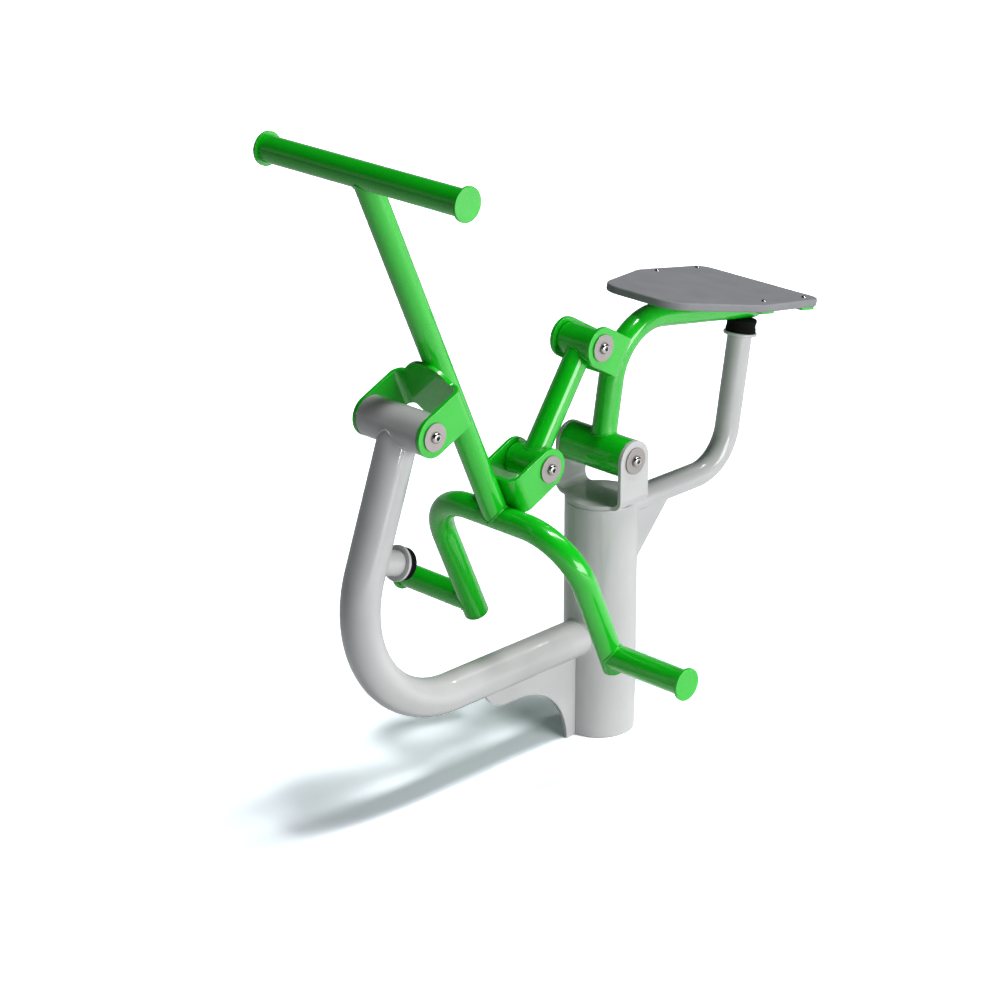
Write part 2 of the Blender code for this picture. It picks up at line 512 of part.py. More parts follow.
# Link between the two levers, in its own frame: Z runs up along it, to the upper pivot at the origin
link_bottom = -link_way.length
link_tube = straight_tube("link_tube", (0, 0, link_bottom), (0, 0, 0), GREEN, link)
boolean(link_tube, [cross_cutter(0, z, LINK_HUB_RADIUS, LINK_HUB_LENGTH) for z in (link_bottom, 0)])
link_bore = LINK_HUB_RADIUS - LINK_HUB_WALL
cross_ring("link_lower_hub", 0, link_bottom, LINK_HUB_RADIUS, link_bore, LINK_HUB_LENGTH, GREEN, link)
cross_ring("link_upper_hub", 0, 0, LINK_HUB_RADIUS, link_bore, LINK_HUB_LENGTH, GREEN, link)

# Seat lever: up from its hub, then back under the seat
wide_bore = WIDE_HUB_RADIUS - WIDE_HUB_WALL
cross_ring("seat_hub", 0, 0, WIDE_HUB_RADIUS, wide_bore, WIDE_HUB_LENGTH, GREEN, seat_lever, LARGE_ROUND)
seat_path = rounded([Vector((0, 0, 0)), Vector((0, 0, SEAT_ARM_RISE)), Vector((-seat_arm_end, 0, SEAT_ARM_RISE))],
                    [0, SEAT_ARM_BEND, 0], BEND_STEPS, closed=False)
seat_tube = swept_tube("seat_lever_tube", seat_path, Y_AXIS, TUBE_RADIUS, TUBE_WALL, GREEN, seat_lever)
boolean(seat_tube, [cross_cutter(0, 0, WIDE_HUB_RADIUS, WIDE_HUB_LENGTH)])
ear_bracket("seat_lever_bracket", upper_pivot, (-upper_way[0], -upper_way[1]), UPPER_BRACKET_REACH, LINK_EAR_GAP,
            GREEN, seat_lever)

# Seat: a flat board on two cross rails
rail_z = SEAT_ARM_RISE + TUBE_RADIUS + CLEAR + RAIL_THICKNESS / 2
seat_z = rail_z + RAIL_THICKNESS / 2 + CLEAR + SEAT_THICKNESS / 2
widest_x, rear_x = SEAT_WIDEST_INSET - seat_rear, -seat_rear
half_outline = [(-SEAT_FRONT, SEAT_FRONT_WIDTH / 2), (widest_x, SEAT_WIDEST / 2), (rear_x, SEAT_REAR_WIDTH / 2)]
seat_corners = [Vector(c) for c in half_outline + [(x, -y) for x, y in reversed(half_outline)]]
corner_sizes = [SEAT_CORNER, SEAT_CORNER, SEAT_REAR_CORNER]
seat_outline = rounded(seat_corners, corner_sizes + corner_sizes[::-1])
seat_plate = prism("seat_plate", seat_outline, Matrix.Translation((0, 0, seat_z)), SEAT_THICKNESS, SEAT_GREY,
                   seat_lever, SEAT_EDGE)
rail_outline = [(-RAIL_WIDTH / 2, -RAIL_LENGTH / 2), (RAIL_WIDTH / 2, -RAIL_LENGTH / 2),
                (RAIL_WIDTH / 2, RAIL_LENGTH / 2), (-RAIL_WIDTH / 2, RAIL_LENGTH / 2)]
seat_top = seat_z + SEAT_THICKNESS / 2
plate_holes = []
for end, inset in (("front", SEAT_SCREW_INSET + SEAT_SCREW_PITCH), ("rear", SEAT_SCREW_INSET)):
    x = inset - seat_rear
    rail = prism(f"seat_{end}_rail", rail_outline, Matrix.Translation((x, 0, rail_z)), RAIL_THICKNESS, GREEN,
                 seat_lever)
    rail_holes = []
    for side, sign in (("left", 1), ("right", -1)):
        y = sign * SEAT_SCREW_SPREAD / 2
        for holes, name in ((plate_holes, "plate_hole"), (rail_holes, "rail_hole")):
            holes.append(rod(f"{name}_{end}_{side}", (x, y, rail_z - RAIL_THICKNESS - OVERRUN), Z_AXIS,
                             SEAT_SCREW_RADIUS + CLEAR, SEAT_THICKNESS + 2 * (RAIL_THICKNESS + OVERRUN),
                             count=SMALL_ROUND))
        hex_socket_screw(f"seat_screw_{end}_{side}", (x, y, seat_top + CLEAR), -Z_AXIS,
                         (SEAT_SCREW_RADIUS, SEAT_SCREW_LENGTH), (SEAT_SCREW_HEAD_RADIUS, SEAT_SCREW_HEAD_HEIGHT),
                         (SEAT_SOCKET_RADIUS, SEAT_SOCKET_DEPTH), STEEL, seat_lever)
    boolean(rail, rail_holes)
boolean(seat_plate, plate_holes)

# Pivots. The linkage is a closed loop, and its lower pivot is the opened one.
wide_hub, link_hub = (WIDE_HUB_LENGTH, wide_bore), (LINK_HUB_LENGTH, link_bore)
front_pivot = (HANDLE_PIVOT_FORWARD, handle_pivot_z)
pivot_set("front_pivot", WIDE_EAR_GAP, (0, 0), handle_lever, *wide_hub, front_pivot, frame)
pivot_set("seat_pivot", WIDE_EAR_GAP, (0, seat_pivot_z), frame, *wide_hub, (0, 0), seat_lever)
pivot_set("upper_pivot", LINK_EAR_GAP, upper_pivot, seat_lever, *link_hub, (0, 0), link)
pivot_set("lower_pivot", LINK_EAR_GAP, lower_pivot, handle_lever, *link_hub, (0, link_bottom), link, opened=True)
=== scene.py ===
import math

import bmesh
import bpy
from mathutils import Matrix, Vector


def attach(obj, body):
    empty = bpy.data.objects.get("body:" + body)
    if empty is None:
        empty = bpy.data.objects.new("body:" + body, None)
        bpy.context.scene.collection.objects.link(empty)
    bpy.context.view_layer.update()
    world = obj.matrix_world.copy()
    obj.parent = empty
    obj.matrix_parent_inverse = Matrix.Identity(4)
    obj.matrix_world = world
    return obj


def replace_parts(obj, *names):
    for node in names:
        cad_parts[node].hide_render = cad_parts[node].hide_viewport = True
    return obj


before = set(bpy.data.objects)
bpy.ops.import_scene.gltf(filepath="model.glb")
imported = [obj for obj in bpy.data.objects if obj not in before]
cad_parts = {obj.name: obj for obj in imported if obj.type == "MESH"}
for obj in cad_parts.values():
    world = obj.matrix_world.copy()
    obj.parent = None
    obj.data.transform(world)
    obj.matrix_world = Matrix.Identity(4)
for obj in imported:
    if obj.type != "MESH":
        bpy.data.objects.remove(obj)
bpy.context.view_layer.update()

# Camera
# It stands in front of the machine and to its left, a little above the seat, 6.2 m away. Its place and its long
# lens were solved from the edges of the tubes, the post and the seat in the photograph.
CAMERA_PLACE, CAMERA_REACH = Vector((4.13798, 3.786235, 2.70549)), 400
CAMERA_TURN, CAMERA_DIP = 0.775218, 0.379931  # radians, from the machine's front and below the horizon
FOCAL_PIXELS, IMAGE_PIXELS, SENSOR = 3186.35, 1000, 36

camera = bpy.data.objects.new("camera", bpy.data.cameras.new("camera"))
bpy.context.scene.collection.objects.link(camera)
camera.data.sensor_width = SENSOR
camera.data.lens = FOCAL_PIXELS / IMAGE_PIXELS * SENSOR
camera.data.clip_end = CAMERA_REACH
ahead = Vector((-math.cos(CAMERA_DIP) * math.cos(CAMERA_TURN), -math.cos(CAMERA_DIP) * math.sin(CAMERA_TURN),
                -math.sin(CAMERA_DIP)))
right = Vector((-math.sin(CAMERA_TURN), math.cos(CAMERA_TURN), 0))
turn = Matrix((right, right.cross(ahead), -ahead)).transposed().to_4x4()
camera.matrix_world = Matrix.Translation(CAMERA_PLACE) @ turn
bpy.context.scene.camera = camera
bpy.context.scene.view_settings.view_transform = "Standard"


# Floor and studio light
# A white studio floor and backdrop. A long softbox overhead throws the short shadow, with a small bright one in its
# middle for the glints. A wide softbox and a thin one light the rider's left side, and a small one behind the seat
# draws the dashes on the beam.
FLOOR_REACH = 120
FLOOR_SEEN = 1.68, 1.79, 1.90, 1  # over-exposed to white outside the shadow, as in the photograph
PAINTED_SHINE_LEFT, PAINTED_SHADE_RIGHT = (1.25, 1.27, 1.28, 1), (0.48, 0.49, 0.50, 1)  # painted light and painted shade: the floor as the paint mirrors it, lighter on the rider's left and darker on the right
SHINE_REACH = 1.3
BOUNCE_NEAR, BOUNCE_FAR = "#D6D8D9", "#8C8E90"  # the light that the floor gives the machine
NEAR, FAR, WHITE_FROM = 0.8, 3.0, 6.0  # distances from the post
WHITE = "#FFFFFF"
SKY_EDGE, SKY_TOP = "#A6A9AB", "#1F2122"  # the room that the paint mirrors
SKY_LOW, SKY_HIGH = 0.1, 0.42  # sines of the heights between which its pale foot turns into its dark top
AIM = Vector((0.15, 0, 0.55))
LAMPS = (  # name, way to the lamp, way of its width, distance, width, height and watts
    ("top_softbox", (-0.32, 0.215, 0.92), (1, 0, 0), 20.0, 15.0, 3.4, 2300),
    ("glint_softbox", (-0.11, 0.20, 0.97), (1, 0, 0), 19.5, 2.6, 2.0, 950),
    ("side_softbox", (-0.17, 0.97, 0.17), (1, 0, 0), 5.5, 4.4, 1.8, 222),
    ("back_softbox", (-0.69, 0.20, 0.69), (0, 1, 0), 8.0, 0.5, 0.3, 34),
    ("strip_softbox", (0.18, 0.98, 0.0), (1, 0, 0), 5.5, 1.7, 0.12, 30),
)


def linear(code):
    """An sRGB hex colour as linear red, green, blue and alpha."""
    shares = [int(code[k:k + 2], 16) / 255 for k in (1, 3, 5)]
    return (*(s / 12.92 if s <= 0.04045 else ((s + 0.055) / 1.055) ** 2.4 for s in shares), 1)


def add_node(tree, kind, inputs=(), **settings):
    """Adds a node. inputs gives each socket, by its name or number, its value or the output that feeds it."""
    made = tree.nodes.new(kind)
    for key, value in settings.items():
        setattr(made, key, value)
    for key, value in dict(inputs).items():
        if isinstance(value, bpy.types.NodeSocket):
            tree.links.new(value, made.inputs[key])
        else:
            made.inputs[key].default_value = value
    return made


def new_material(name):
    made = bpy.data.materials.new(name)
    made.use_nodes = True
    made.node_tree.nodes.clear()
    return made, made.node_tree


def softbox(name, way, across, distance, width, height, power):
    """A rectangular lamp that shines at the machine from the given direction, its width turned across."""
    lamp = bpy.data.lights.new(name, "AREA")
    lamp.shape, lamp.size, lamp.size_y = "RECTANGLE", width, height
    lamp.energy = power
    obj = bpy.data.objects.new(name, lamp)
    bpy.context.scene.collection.objects.link(obj)
    way = Vector(way).normalized()
    rise = way.cross(Vector(across)).normalized()
    turn = Matrix((rise.cross(way), rise, way)).transposed().to_4x4()
    obj.matrix_world = Matrix.Translation(AIM + way * distance) @ turn


floor_paint, tree = new_material("matt_white_floor_paint")  # even and over-exposed to the camera, so only the shadow shows; in the paint's reflections it has painted light on the rider's left and painted shade on the right
rays = add_node(tree, "ShaderNodeLightPath")
shiny = add_node(tree, "ShaderNodeMath", {0: rays.outputs["Is Glossy Ray"], 1: rays.outputs["Is Transmission Ray"]},
                 operation="MAXIMUM")
spot = add_node(tree, "ShaderNodeTexCoord").outputs["Object"]
distance = add_node(tree, "ShaderNodeVectorMath", {0: spot}, operation="LENGTH").outputs["Value"]
away = add_node(tree, "ShaderNodeMapRange", {"Value": distance, "From Min": NEAR, "From Max": FAR},
                interpolation_type="SMOOTHSTEP").outputs[0]
given = add_node(tree, "ShaderNodeMix", {0: away, 6: linear(BOUNCE_NEAR), 7: linear(BOUNCE_FAR)}, data_type="RGBA")
# painted reflection: the floor that the paint mirrors is lighter on the rider's left and darker on its right
sideways = add_node(tree, "ShaderNodeSeparateXYZ", {0: spot}).outputs["Y"]
sideways = add_node(tree, "ShaderNodeMapRange", {"Value": sideways, "From Min": -SHINE_REACH, "From Max": SHINE_REACH},
                    interpolation_type="SMOOTHSTEP").outputs[0]
shine = add_node(tree, "ShaderNodeMix", {0: sideways, 6: PAINTED_SHADE_RIGHT, 7: PAINTED_SHINE_LEFT}, data_type="RGBA")
face = add_node(tree, "ShaderNodeMix", {0: shiny.outputs[0], 6: given.outputs[2], 7: shine.outputs[2]},
                data_type="RGBA")
face = add_node(tree, "ShaderNodeMix", {0: rays.outputs["Is Camera Ray"], 6: face.outputs[2], 7: FLOOR_SEEN},
                data_type="RGBA")
face = add_node(tree, "ShaderNodeBsdfDiffuse", {"Color": face.outputs[2]})
whiter = add_node(tree, "ShaderNodeMapRange", {"Value": distance, "From Min": NEAR, "From Max": WHITE_FROM})
strength = add_node(tree, "ShaderNodeMath", {0: whiter.outputs[0], 1: rays.outputs["Is Camera Ray"]},
                    operation="MULTIPLY")
glow = add_node(tree, "ShaderNodeEmission", {"Color": linear(WHITE), "Strength": strength.outputs[0]})
white = add_node(tree, "ShaderNodeAddShader", {0: face.outputs[0], 1: glow.outputs[0]})
add_node(tree, "ShaderNodeOutputMaterial", {"Surface": white.outputs[0]})

floor_mesh = bpy.data.meshes.new("floor")
floor_mesh.from_pydata([(x * FLOOR_REACH, y * FLOOR_REACH, 0) for x, y in ((-1, -1), (1, -1), (1, 1), (-1, 1))], [],
                       [(0, 1, 2, 3)])
floor = bpy.data.objects.new("floor", floor_mesh)
bpy.context.scene.collection.objects.link(floor)
floor_mesh.materials.append(floor_paint)

sky = bpy.data.worlds.new("studio")
bpy.context.scene.world = sky
sky.use_nodes = True
sky.node_tree.nodes.clear()
look_up = add_node(sky.node_tree, "ShaderNodeTexCoord")
height = add_node(sky.node_tree, "ShaderNodeSeparateXYZ", {0: look_up.outputs["Generated"]})
fade = add_node(sky.node_tree, "ShaderNodeMapRange", {"Value": height.outputs["Z"], "From Min": SKY_LOW,
                                                      "From Max": SKY_HIGH}, interpolation_type="SMOOTHSTEP")
shade = add_node(sky.node_tree, "ShaderNodeMix", {0: fade.outputs[0], 6: linear(SKY_EDGE), 7: linear(SKY_TOP)},
                 data_type="RGBA")
sight = add_node(sky.node_tree, "ShaderNodeLightPath")
shade = add_node(sky.node_tree, "ShaderNodeMix", {0: sight.outputs["Is Camera Ray"], 6: shade.outputs[2],
                                                  7: linear(WHITE)}, data_type="RGBA")
air = add_node(sky.node_tree, "ShaderNodeBackground", {"Color": shade.outputs[2], "Strength": 1.0})
add_node(sky.node_tree, "ShaderNodeOutputWorld", {"Surface": air.outputs[0]})

for lamp in LAMPS:
    softbox(*lamp)


# Post
# A steel tube, 139.7 mm across, stands upright and carries everything. It is cut square, closed at its foot, and
# powder-coated light grey after welding.
POST_RADIUS, POST_HEIGHT, POST_EDGE = 0.06985, 0.4729, 0.0022
GREY_FACE, GREY_DEEP, GREY_ROUGHNESS = "#BFBFBF", "#B7B7B8", 0.30
CLEAR = 0.0003  # between pieces that touch
SHARP_TURN = math.radians(48)  # rims that turn less are shaded smooth
PEEL, CLOUD, DUST = 0.0028, 0.09, 0.0007  # the paint's orange peel, its slow change of film and its fine grain
PEEL_DEPTH = 0.00006
SHARE_LOW, SHARE_HIGH = 0.75, 1.25  # the range in which the sum of two noises mostly lies


def eased(corners, radii, steps=8, closed=True):
    """A path through the corners, each turned into an arc of its radius. A radius of 0 keeps the corner."""
    points = [Vector(c) for c in corners]
    path = []
    for k, (corner, radius) in enumerate(zip(points, radii)):
        if radius == 0 or (not closed and k in (0, len(points) - 1)):
            path.append(corner)
            continue
        back = (points[k - 1] - corner).normalized()
        on = (points[(k + 1) % len(points)] - corner).normalized()
        half = back.angle(on) / 2
        centre = corner + (back + on).normalized() * radius / math.sin(half)
        first = corner + back * radius / math.tan(half) - centre
        last = corner + on * radius / math.tan(half) - centre
        turn = math.pi - 2 * half
        for n in range(steps + 1):
            mix = math.sin((1 - n / steps) * turn), math.sin(n / steps * turn)
            path.append(centre + (first * mix[0] + last * mix[1]) / math.sin(turn))
    return path


def add_piece(name, bm, look, place=Matrix()):
    """Makes the mesh an object in its place, smooth over its rounded rims and flat on its faces."""
    bmesh.ops.recalc_face_normals(bm, faces=bm.faces)
    mesh = bpy.data.meshes.new(name)
    bm.to_mesh(mesh)
    bm.free()
    mesh.materials.append(look)
    mesh.shade_smooth()
    mesh.set_sharp_from_angle(angle=SHARP_TURN)
    obj = bpy.data.objects.new(name, mesh)
    bpy.context.scene.collection.objects.link(obj)
    obj.matrix_world = place
    flats = obj.modifiers.new("flats", "WEIGHTED_NORMAL")
    flats.keep_sharp = True
    return obj


def stitched(rings, ends=True):
    """A closed mesh over rings of points, with an end face on the first and last, or joined round into itself."""
    bm = bmesh.new()
    rows = [[bm.verts.new(p) for p in ring] for ring in rings]
    for one, other in list(zip(rows, rows[1:])) + ([] if ends else [(rows[-1], rows[0])]):
        for k in range(len(one)):
            on = (k + 1) % len(one)
            bm.faces.new((one[k], one[on], other[on], other[k]))
    if ends:
        bm.faces.new(rows[0][::-1])
        bm.faces.new(rows[-1])
    return bm


def skin(name, rings, look, place=Matrix(), ends=True):
    return add_piece(name, stitched(rings, ends), look, place)


def circle(radius, height, count):
    """A ring of points round Z, none of which lies on X or Y."""
    turns = [2 * math.pi * (k + 0.5) / count for k in range(count)]
    return [Vector((radius * math.cos(a), radius * math.sin(a), height)) for a in turns]


def turned(name, profile, look, place, solid=True, count=96):
    """A profile of (radius, height) points turned round the place's Z."""
    return skin(name, [circle(radius, height, count) for radius, height in profile], look, place, solid)


def along(start, way):
    """The place whose Z runs along the way from the start."""
    return Matrix.Translation(start) @ Vector(way).to_track_quat("Z", "Y").to_matrix().to_4x4()


def powder_coat(name, face, deep, roughness):
    """Polyester powder baked on steel: a glossy film with a fine orange peel that breaks up sharp reflections, an even
    colour that deepens slightly where the film is thicker, and the grain of the powder under it."""
    look, tree = new_material(name)
    spot = add_node(tree, "ShaderNodeTexCoord").outputs["Object"]
    cloud = add_node(tree, "ShaderNodeTexNoise", {"Vector": spot, "Scale": 1 / CLOUD, "Detail": 3.0})
    dust = add_node(tree, "ShaderNodeTexNoise", {"Vector": spot, "Scale": 1 / DUST, "Detail": 1.0})
    peel = add_node(tree, "ShaderNodeTexNoise", {"Vector": spot, "Scale": 1 / PEEL, "Detail": 1.0, "Roughness": 0.4})
    mixed = add_node(tree, "ShaderNodeMath", {0: cloud.outputs[0], 1: dust.outputs[0]}, operation="ADD")
    share = add_node(tree, "ShaderNodeMapRange", {"Value": mixed.outputs[0], "From Min": SHARE_LOW,
                                                  "From Max": SHARE_HIGH})
    colour = add_node(tree, "ShaderNodeMix", {0: share.outputs[0], 6: linear(deep), 7: linear(face)}, data_type="RGBA")
    rough = add_node(tree, "ShaderNodeMapRange", {"Value": dust.outputs[0], "From Min": 0.3, "From Max": 0.7,
                                                  "To Min": roughness * 0.85, "To Max": roughness * 1.2})
    bump = add_node(tree, "ShaderNodeBump", {"Height": peel.outputs[0], "Strength": 0.35, "Distance": PEEL_DEPTH})
    shader = add_node(tree, "ShaderNodeBsdfPrincipled", {
        "Base Color": colour.outputs[2], "Roughness": rough.outputs[0], "IOR": 1.5, "Specular IOR Level": 0.25,
        "Normal": bump.outputs[0], "Coat Weight": 0.8, "Coat Roughness": 0.04, "Coat IOR": 1.5,
        "Coat Normal": bump.outputs[0]})
    add_node(tree, "ShaderNodeOutputMaterial", {"Surface": shader.outputs[0]})
    return look


grey_coat = powder_coat("grey_polyester_powder_coat", GREY_FACE, GREY_DEEP, GREY_ROUGHNESS)
post_core = POST_RADIUS - 5 * POST_EDGE
post_profile = eased([(post_core, 0), (POST_RADIUS, 0), (POST_RADIUS, POST_HEIGHT), (post_core, POST_HEIGHT)],
                     [0, POST_EDGE, POST_EDGE, 0], 4, closed=False)
post = turned("post_tube", post_profile, grey_coat, Matrix(), count=128)
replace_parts(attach(post, "frame"), "post")


# Clevis
# A bracket folded from 8 mm plate: a round base as wide as the post, and an ear each side of the seat lever's hub.
# The base is welded to the post's rim from inside and painted with it, so that only a fine dark seam shows.
PLATE, PLATE_RIM = 0.008, 0.0009
EAR_RADIUS, FOLD_RADIUS, BASE_FILLET = 0.0385, 0.022, 0.010
SAME_POINT = 1e-6
CLEVIS_REACH, WIDE_EAR_GAP = 0.096, 0.152
SEAT_PIVOT = Vector((0, 0, POST_HEIGHT + CLEAR + CLEVIS_REACH))


def slab(outline, thickness, rim, steps=3):
    """Loops of points over a flat outline, from its lower face to its upper one, with both rims rounded."""
    points = [Vector(p) for p in outline]
    if sum(a.x * b.y - a.y * b.x for a, b in zip(points, points[1:] + points[:1])) < 0:
        points.reverse()
    inward = []
    for k, point in enumerate(points):
        back, on = (point - points[k - 1]).normalized(), (points[(k + 1) % len(points)] - point).normalized()
        inward.append(Vector((-back.y - on.y, back.x + on.x)).normalized() / math.cos(back.angle(on) / 2))
    loops = []
    for n in range(steps + 1):
        turn = n / steps * math.pi / 2
        inset, height = rim * (1 - math.sin(turn)), rim * (1 - math.cos(turn)) - thickness / 2
        loops.append([(point + way * inset).to_3d() + Vector((0, 0, height)) for point, way in zip(points, inward)])
    return loops + [[Vector((p.x, p.y, -p.z)) for p in loop] for loop in reversed(loops)]


def facing(pivot, up):
    """The place of a bracket: its X along the axle, its Z from the web to the pivot."""
    axle, up = Vector((0, 1, 0)), Vector(up).normalized()
    return Matrix.Translation(pivot) @ Matrix((axle, up.cross(axle), up)).transposed().to_4x4()


def ear_bracket(name, reach, ear_gap, look, place, base=0, fold_steps=12):
    """A web at reach from the pivot with an ear folded up each side, and a round base if its radius is given."""
    flat = ear_gap / 2 + PLATE - FOLD_RADIUS
    middle = FOLD_RADIUS - PLATE / 2
    ear_foot = flat + middle * math.pi / 2
    pivot = ear_foot + reach - FOLD_RADIUS
    turns = [math.pi / 2 * k / fold_steps for k in range(fold_steps + 1)]
    quarter = [(pivot + EAR_RADIUS * math.cos(a), EAR_RADIUS * math.sin(a)) for a in turns]
    if base:
        off = EAR_RADIUS + BASE_FILLET
        rise = math.sqrt((base + BASE_FILLET) ** 2 - off ** 2)
        lean = math.atan2(rise, off)
        quarter += [(rise - BASE_FILLET * math.sin(lean * k / 6), off - BASE_FILLET * math.cos(lean * k / 6))
                    for k in range(7)]
        quarter += [(base * math.sin(lean * (1 - k / 16)), base * math.cos(lean * (1 - k / 16))) for k in range(1, 17)]
    outline = quarter + [(-s, w) for s, w in reversed(quarter)]
    outline += [(s, -w) for s, w in reversed(outline)]
    kept = [p for k, p in enumerate(outline) if (Vector(p) - Vector(outline[k - 1])).length > SAME_POINT]
    bm = stitched(slab(kept, PLATE, PLATE_RIM))
    for turn in turns:
        for sign in (1, -1):
            bmesh.ops.bisect_plane(bm, geom=bm.verts[:] + bm.edges[:] + bm.faces[:], dist=SAME_POINT,
                                   plane_co=(sign * (flat + middle * turn), 0, 0), plane_no=(1, 0, 0))
    for vert in bm.verts:
        s, w, out = vert.co
        turn = min(max((abs(s) - flat) / middle, 0), math.pi / 2)
        side = min(abs(s), flat) + (middle + out) * math.sin(turn)
        height = FOLD_RADIUS - reach - (middle + out) * math.cos(turn) + max(abs(s) - ear_foot, 0)
        vert.co = (math.copysign(side, s), w, height)
    return add_piece(name, bm, look, place)


clevis = ear_bracket("post_clevis_plate", CLEVIS_REACH, WIDE_EAR_GAP, grey_coat, facing(SEAT_PIVOT, (0, 0, 1)),
                     POST_RADIUS)
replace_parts(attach(clevis, "frame"), "post_clevis")


# Front beam and its hub
# A 73 mm steel tube, bent once on a large former. It is cut to a saddle at the post and at the hub of the handle
# lever's pivot, and welded all round at both with a fine bead.
BEAM_RADIUS, BEAM_BEND, BEAM_HEIGHT, BEAM_LEAN = 0.0365, 0.222, 0.2034, math.radians(19.8)
HANDLE_PIVOT = Vector((0.522, 0, 0.7564))
HUB_RADIUS, HUB_BORE, HUB_LENGTH, HUB_RIM = 0.03805, 0.03405, 0.150, 0.0009
BEAD_RADIUS, BEAD_RIPPLE, BEAD_SWELL, BEAD_STEPS = 0.0020, 0.0045, 0.07, 192
X_WAY, Y_WAY, Z_WAY = Vector((1, 0, 0)), Vector((0, 1, 0)), Vector((0, 0, 1))


def tube_rings(path, side, radius, count=64):
    """Rings round a flat path. side is the unit vector square to its plane."""
    rings = []
    for k, point in enumerate(path):
        on = (path[min(k + 1, len(path) - 1)] - point).normalized()
        back = (point - path[max(k - 1, 0)]).normalized()
        way = (on + back).normalized()
        across = side.cross(way)
        rings.append([point + c.x * across + c.y * side for c in circle(radius, 0, count)])
    return rings


def saddle(ring, way, spot, axis, radius):
    """The ring's points moved along the way, out of the round tube through the spot, onto its surface."""
    moved = []
    flat_way = way - axis * way.dot(axis)
    for point in ring:
        off = point - spot - axis * (point - spot).dot(axis)
        a, b, c = flat_way.dot(flat_way), 2 * off.dot(flat_way), off.dot(off) - radius ** 2
        moved.append(point + way * (math.sqrt(max(b * b - 4 * a * c, 0)) - b) / (2 * a))
    return moved


def weld(name, spot, way, radius, other, axis, other_radius, look, place=Matrix()):
    """A bead round the joint of a tube, from the spot along the way, with the tube of other_radius through other."""
    side = way.cross(axis).normalized()
    line = saddle([spot + c.x * side.cross(way) + c.y * side for c in circle(radius, 0, BEAD_STEPS)], way, other,
                  axis, other_radius)
    length = sum((a - b).length for a, b in zip(line, line[1:] + line[:1]))
    ripples = round(length / BEAD_RIPPLE)
    rings = []
    for k, point in enumerate(line):
        on = (line[(k + 1) % len(line)] - line[k - 1]).normalized()
        out = point - spot - way * (point - spot).dot(way)
        out = (out - on * out.dot(on)).normalized()
        size = BEAD_RADIUS * (1 + BEAD_SWELL * math.sin(2 * math.pi * ripples * k / len(line)))
        rings.append([point + c.x * out + c.y * on.cross(out) for c in circle(size, 0, 12)])
    return skin(name, rings, look, place, ends=False)


def hub(name, radius, bore, length, look, place):
    """A thick ring across the machine, centred on its place, with its four rims broken."""
    half = length / 2
    profile = eased([(bore, -half), (radius, -half), (radius, half), (bore, half)], [HUB_RIM] * 4, 3)
    return turned(name, profile, look, place @ along((0, 0, 0), Y_WAY), solid=False)


beam_up = Vector((-math.sin(BEAM_LEAN), 0, math.cos(BEAM_LEAN)))
beam_start = Vector((0, 0, BEAM_HEIGHT))
beam_corner = HANDLE_PIVOT - beam_up * (HANDLE_PIVOT.z - BEAM_HEIGHT) / beam_up.z
rings = tube_rings(eased([beam_start, beam_corner, HANDLE_PIVOT], [0, BEAM_BEND, 0], 48, closed=False), Y_WAY,
                   BEAM_RADIUS, 80)
rings[0] = saddle(rings[0], X_WAY, Vector(), Z_WAY, POST_RADIUS + CLEAR)
rings[-1] = saddle(rings[-1], -beam_up, HANDLE_PIVOT, Y_WAY, HUB_RADIUS + CLEAR)
front_beam = skin("front_beam_tube", rings, grey_coat)
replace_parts(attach(front_beam, "frame"), "front_beam")
front_hub = hub("front_hub_tube", HUB_RADIUS, HUB_BORE, HUB_LENGTH, grey_coat, Matrix.Translation(HANDLE_PIVOT))
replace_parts(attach(front_hub, "frame"), "front_hub")
for bead in (
    weld("front_beam_post_weld", beam_start, X_WAY, BEAM_RADIUS, Vector(), Z_WAY, POST_RADIUS, grey_coat),
    weld("front_beam_hub_weld", HANDLE_PIVOT, -beam_up, BEAM_RADIUS, HANDLE_PIVOT, Y_WAY, HUB_RADIUS, grey_coat),
):
    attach(bead, "frame")


# Front gusset
# An 8 mm steel plate, flame-cut with a quarter-round arch over the ground and a rounded nose. It stands on the
# ground between the post and the beam and is welded to both.
GUSSET_FOOT, ARCH_RADIUS, GUSSET_FLAT, NOSE_RADIUS = 0.024, 0.130, 0.037, 0.060


def arc(centre, radius, start, end, steps):
    """Points on an arc in a plate's own plane."""
    turns = [start + (end - start) * n / steps for n in range(steps + 1)]
    return [(centre[0] + radius * math.cos(a), centre[1] + radius * math.sin(a)) for a in turns]


upright = Matrix(((1, 0, 0, 0), (0, 0, -1, 0), (0, 1, 0, 0), (0, 0, 0, 1)))
gusset_back, gusset_top = POST_RADIUS + CLEAR, BEAM_HEIGHT - BEAM_RADIUS - CLEAR
arch_centre = (gusset_back + GUSSET_FOOT + ARCH_RADIUS, 0)
nose_centre = (arch_centre[0] + GUSSET_FLAT, ARCH_RADIUS + NOSE_RADIUS)
nose_turn = math.acos((nose_centre[1] - gusset_top) / NOSE_RADIUS)
gusset_outline = [(gusset_back, 0), *arc(arch_centre, ARCH_RADIUS, math.pi, math.pi / 2, 40),
                  *arc(nose_centre, NOSE_RADIUS, -math.pi / 2, nose_turn - math.pi / 2, 16), (gusset_back, gusset_top)]
front_gusset = skin("front_gusset_plate", slab(gusset_outline, PLATE, PLATE_RIM), grey_coat, upright)
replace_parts(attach(front_gusset, "frame"), "front_gusset")


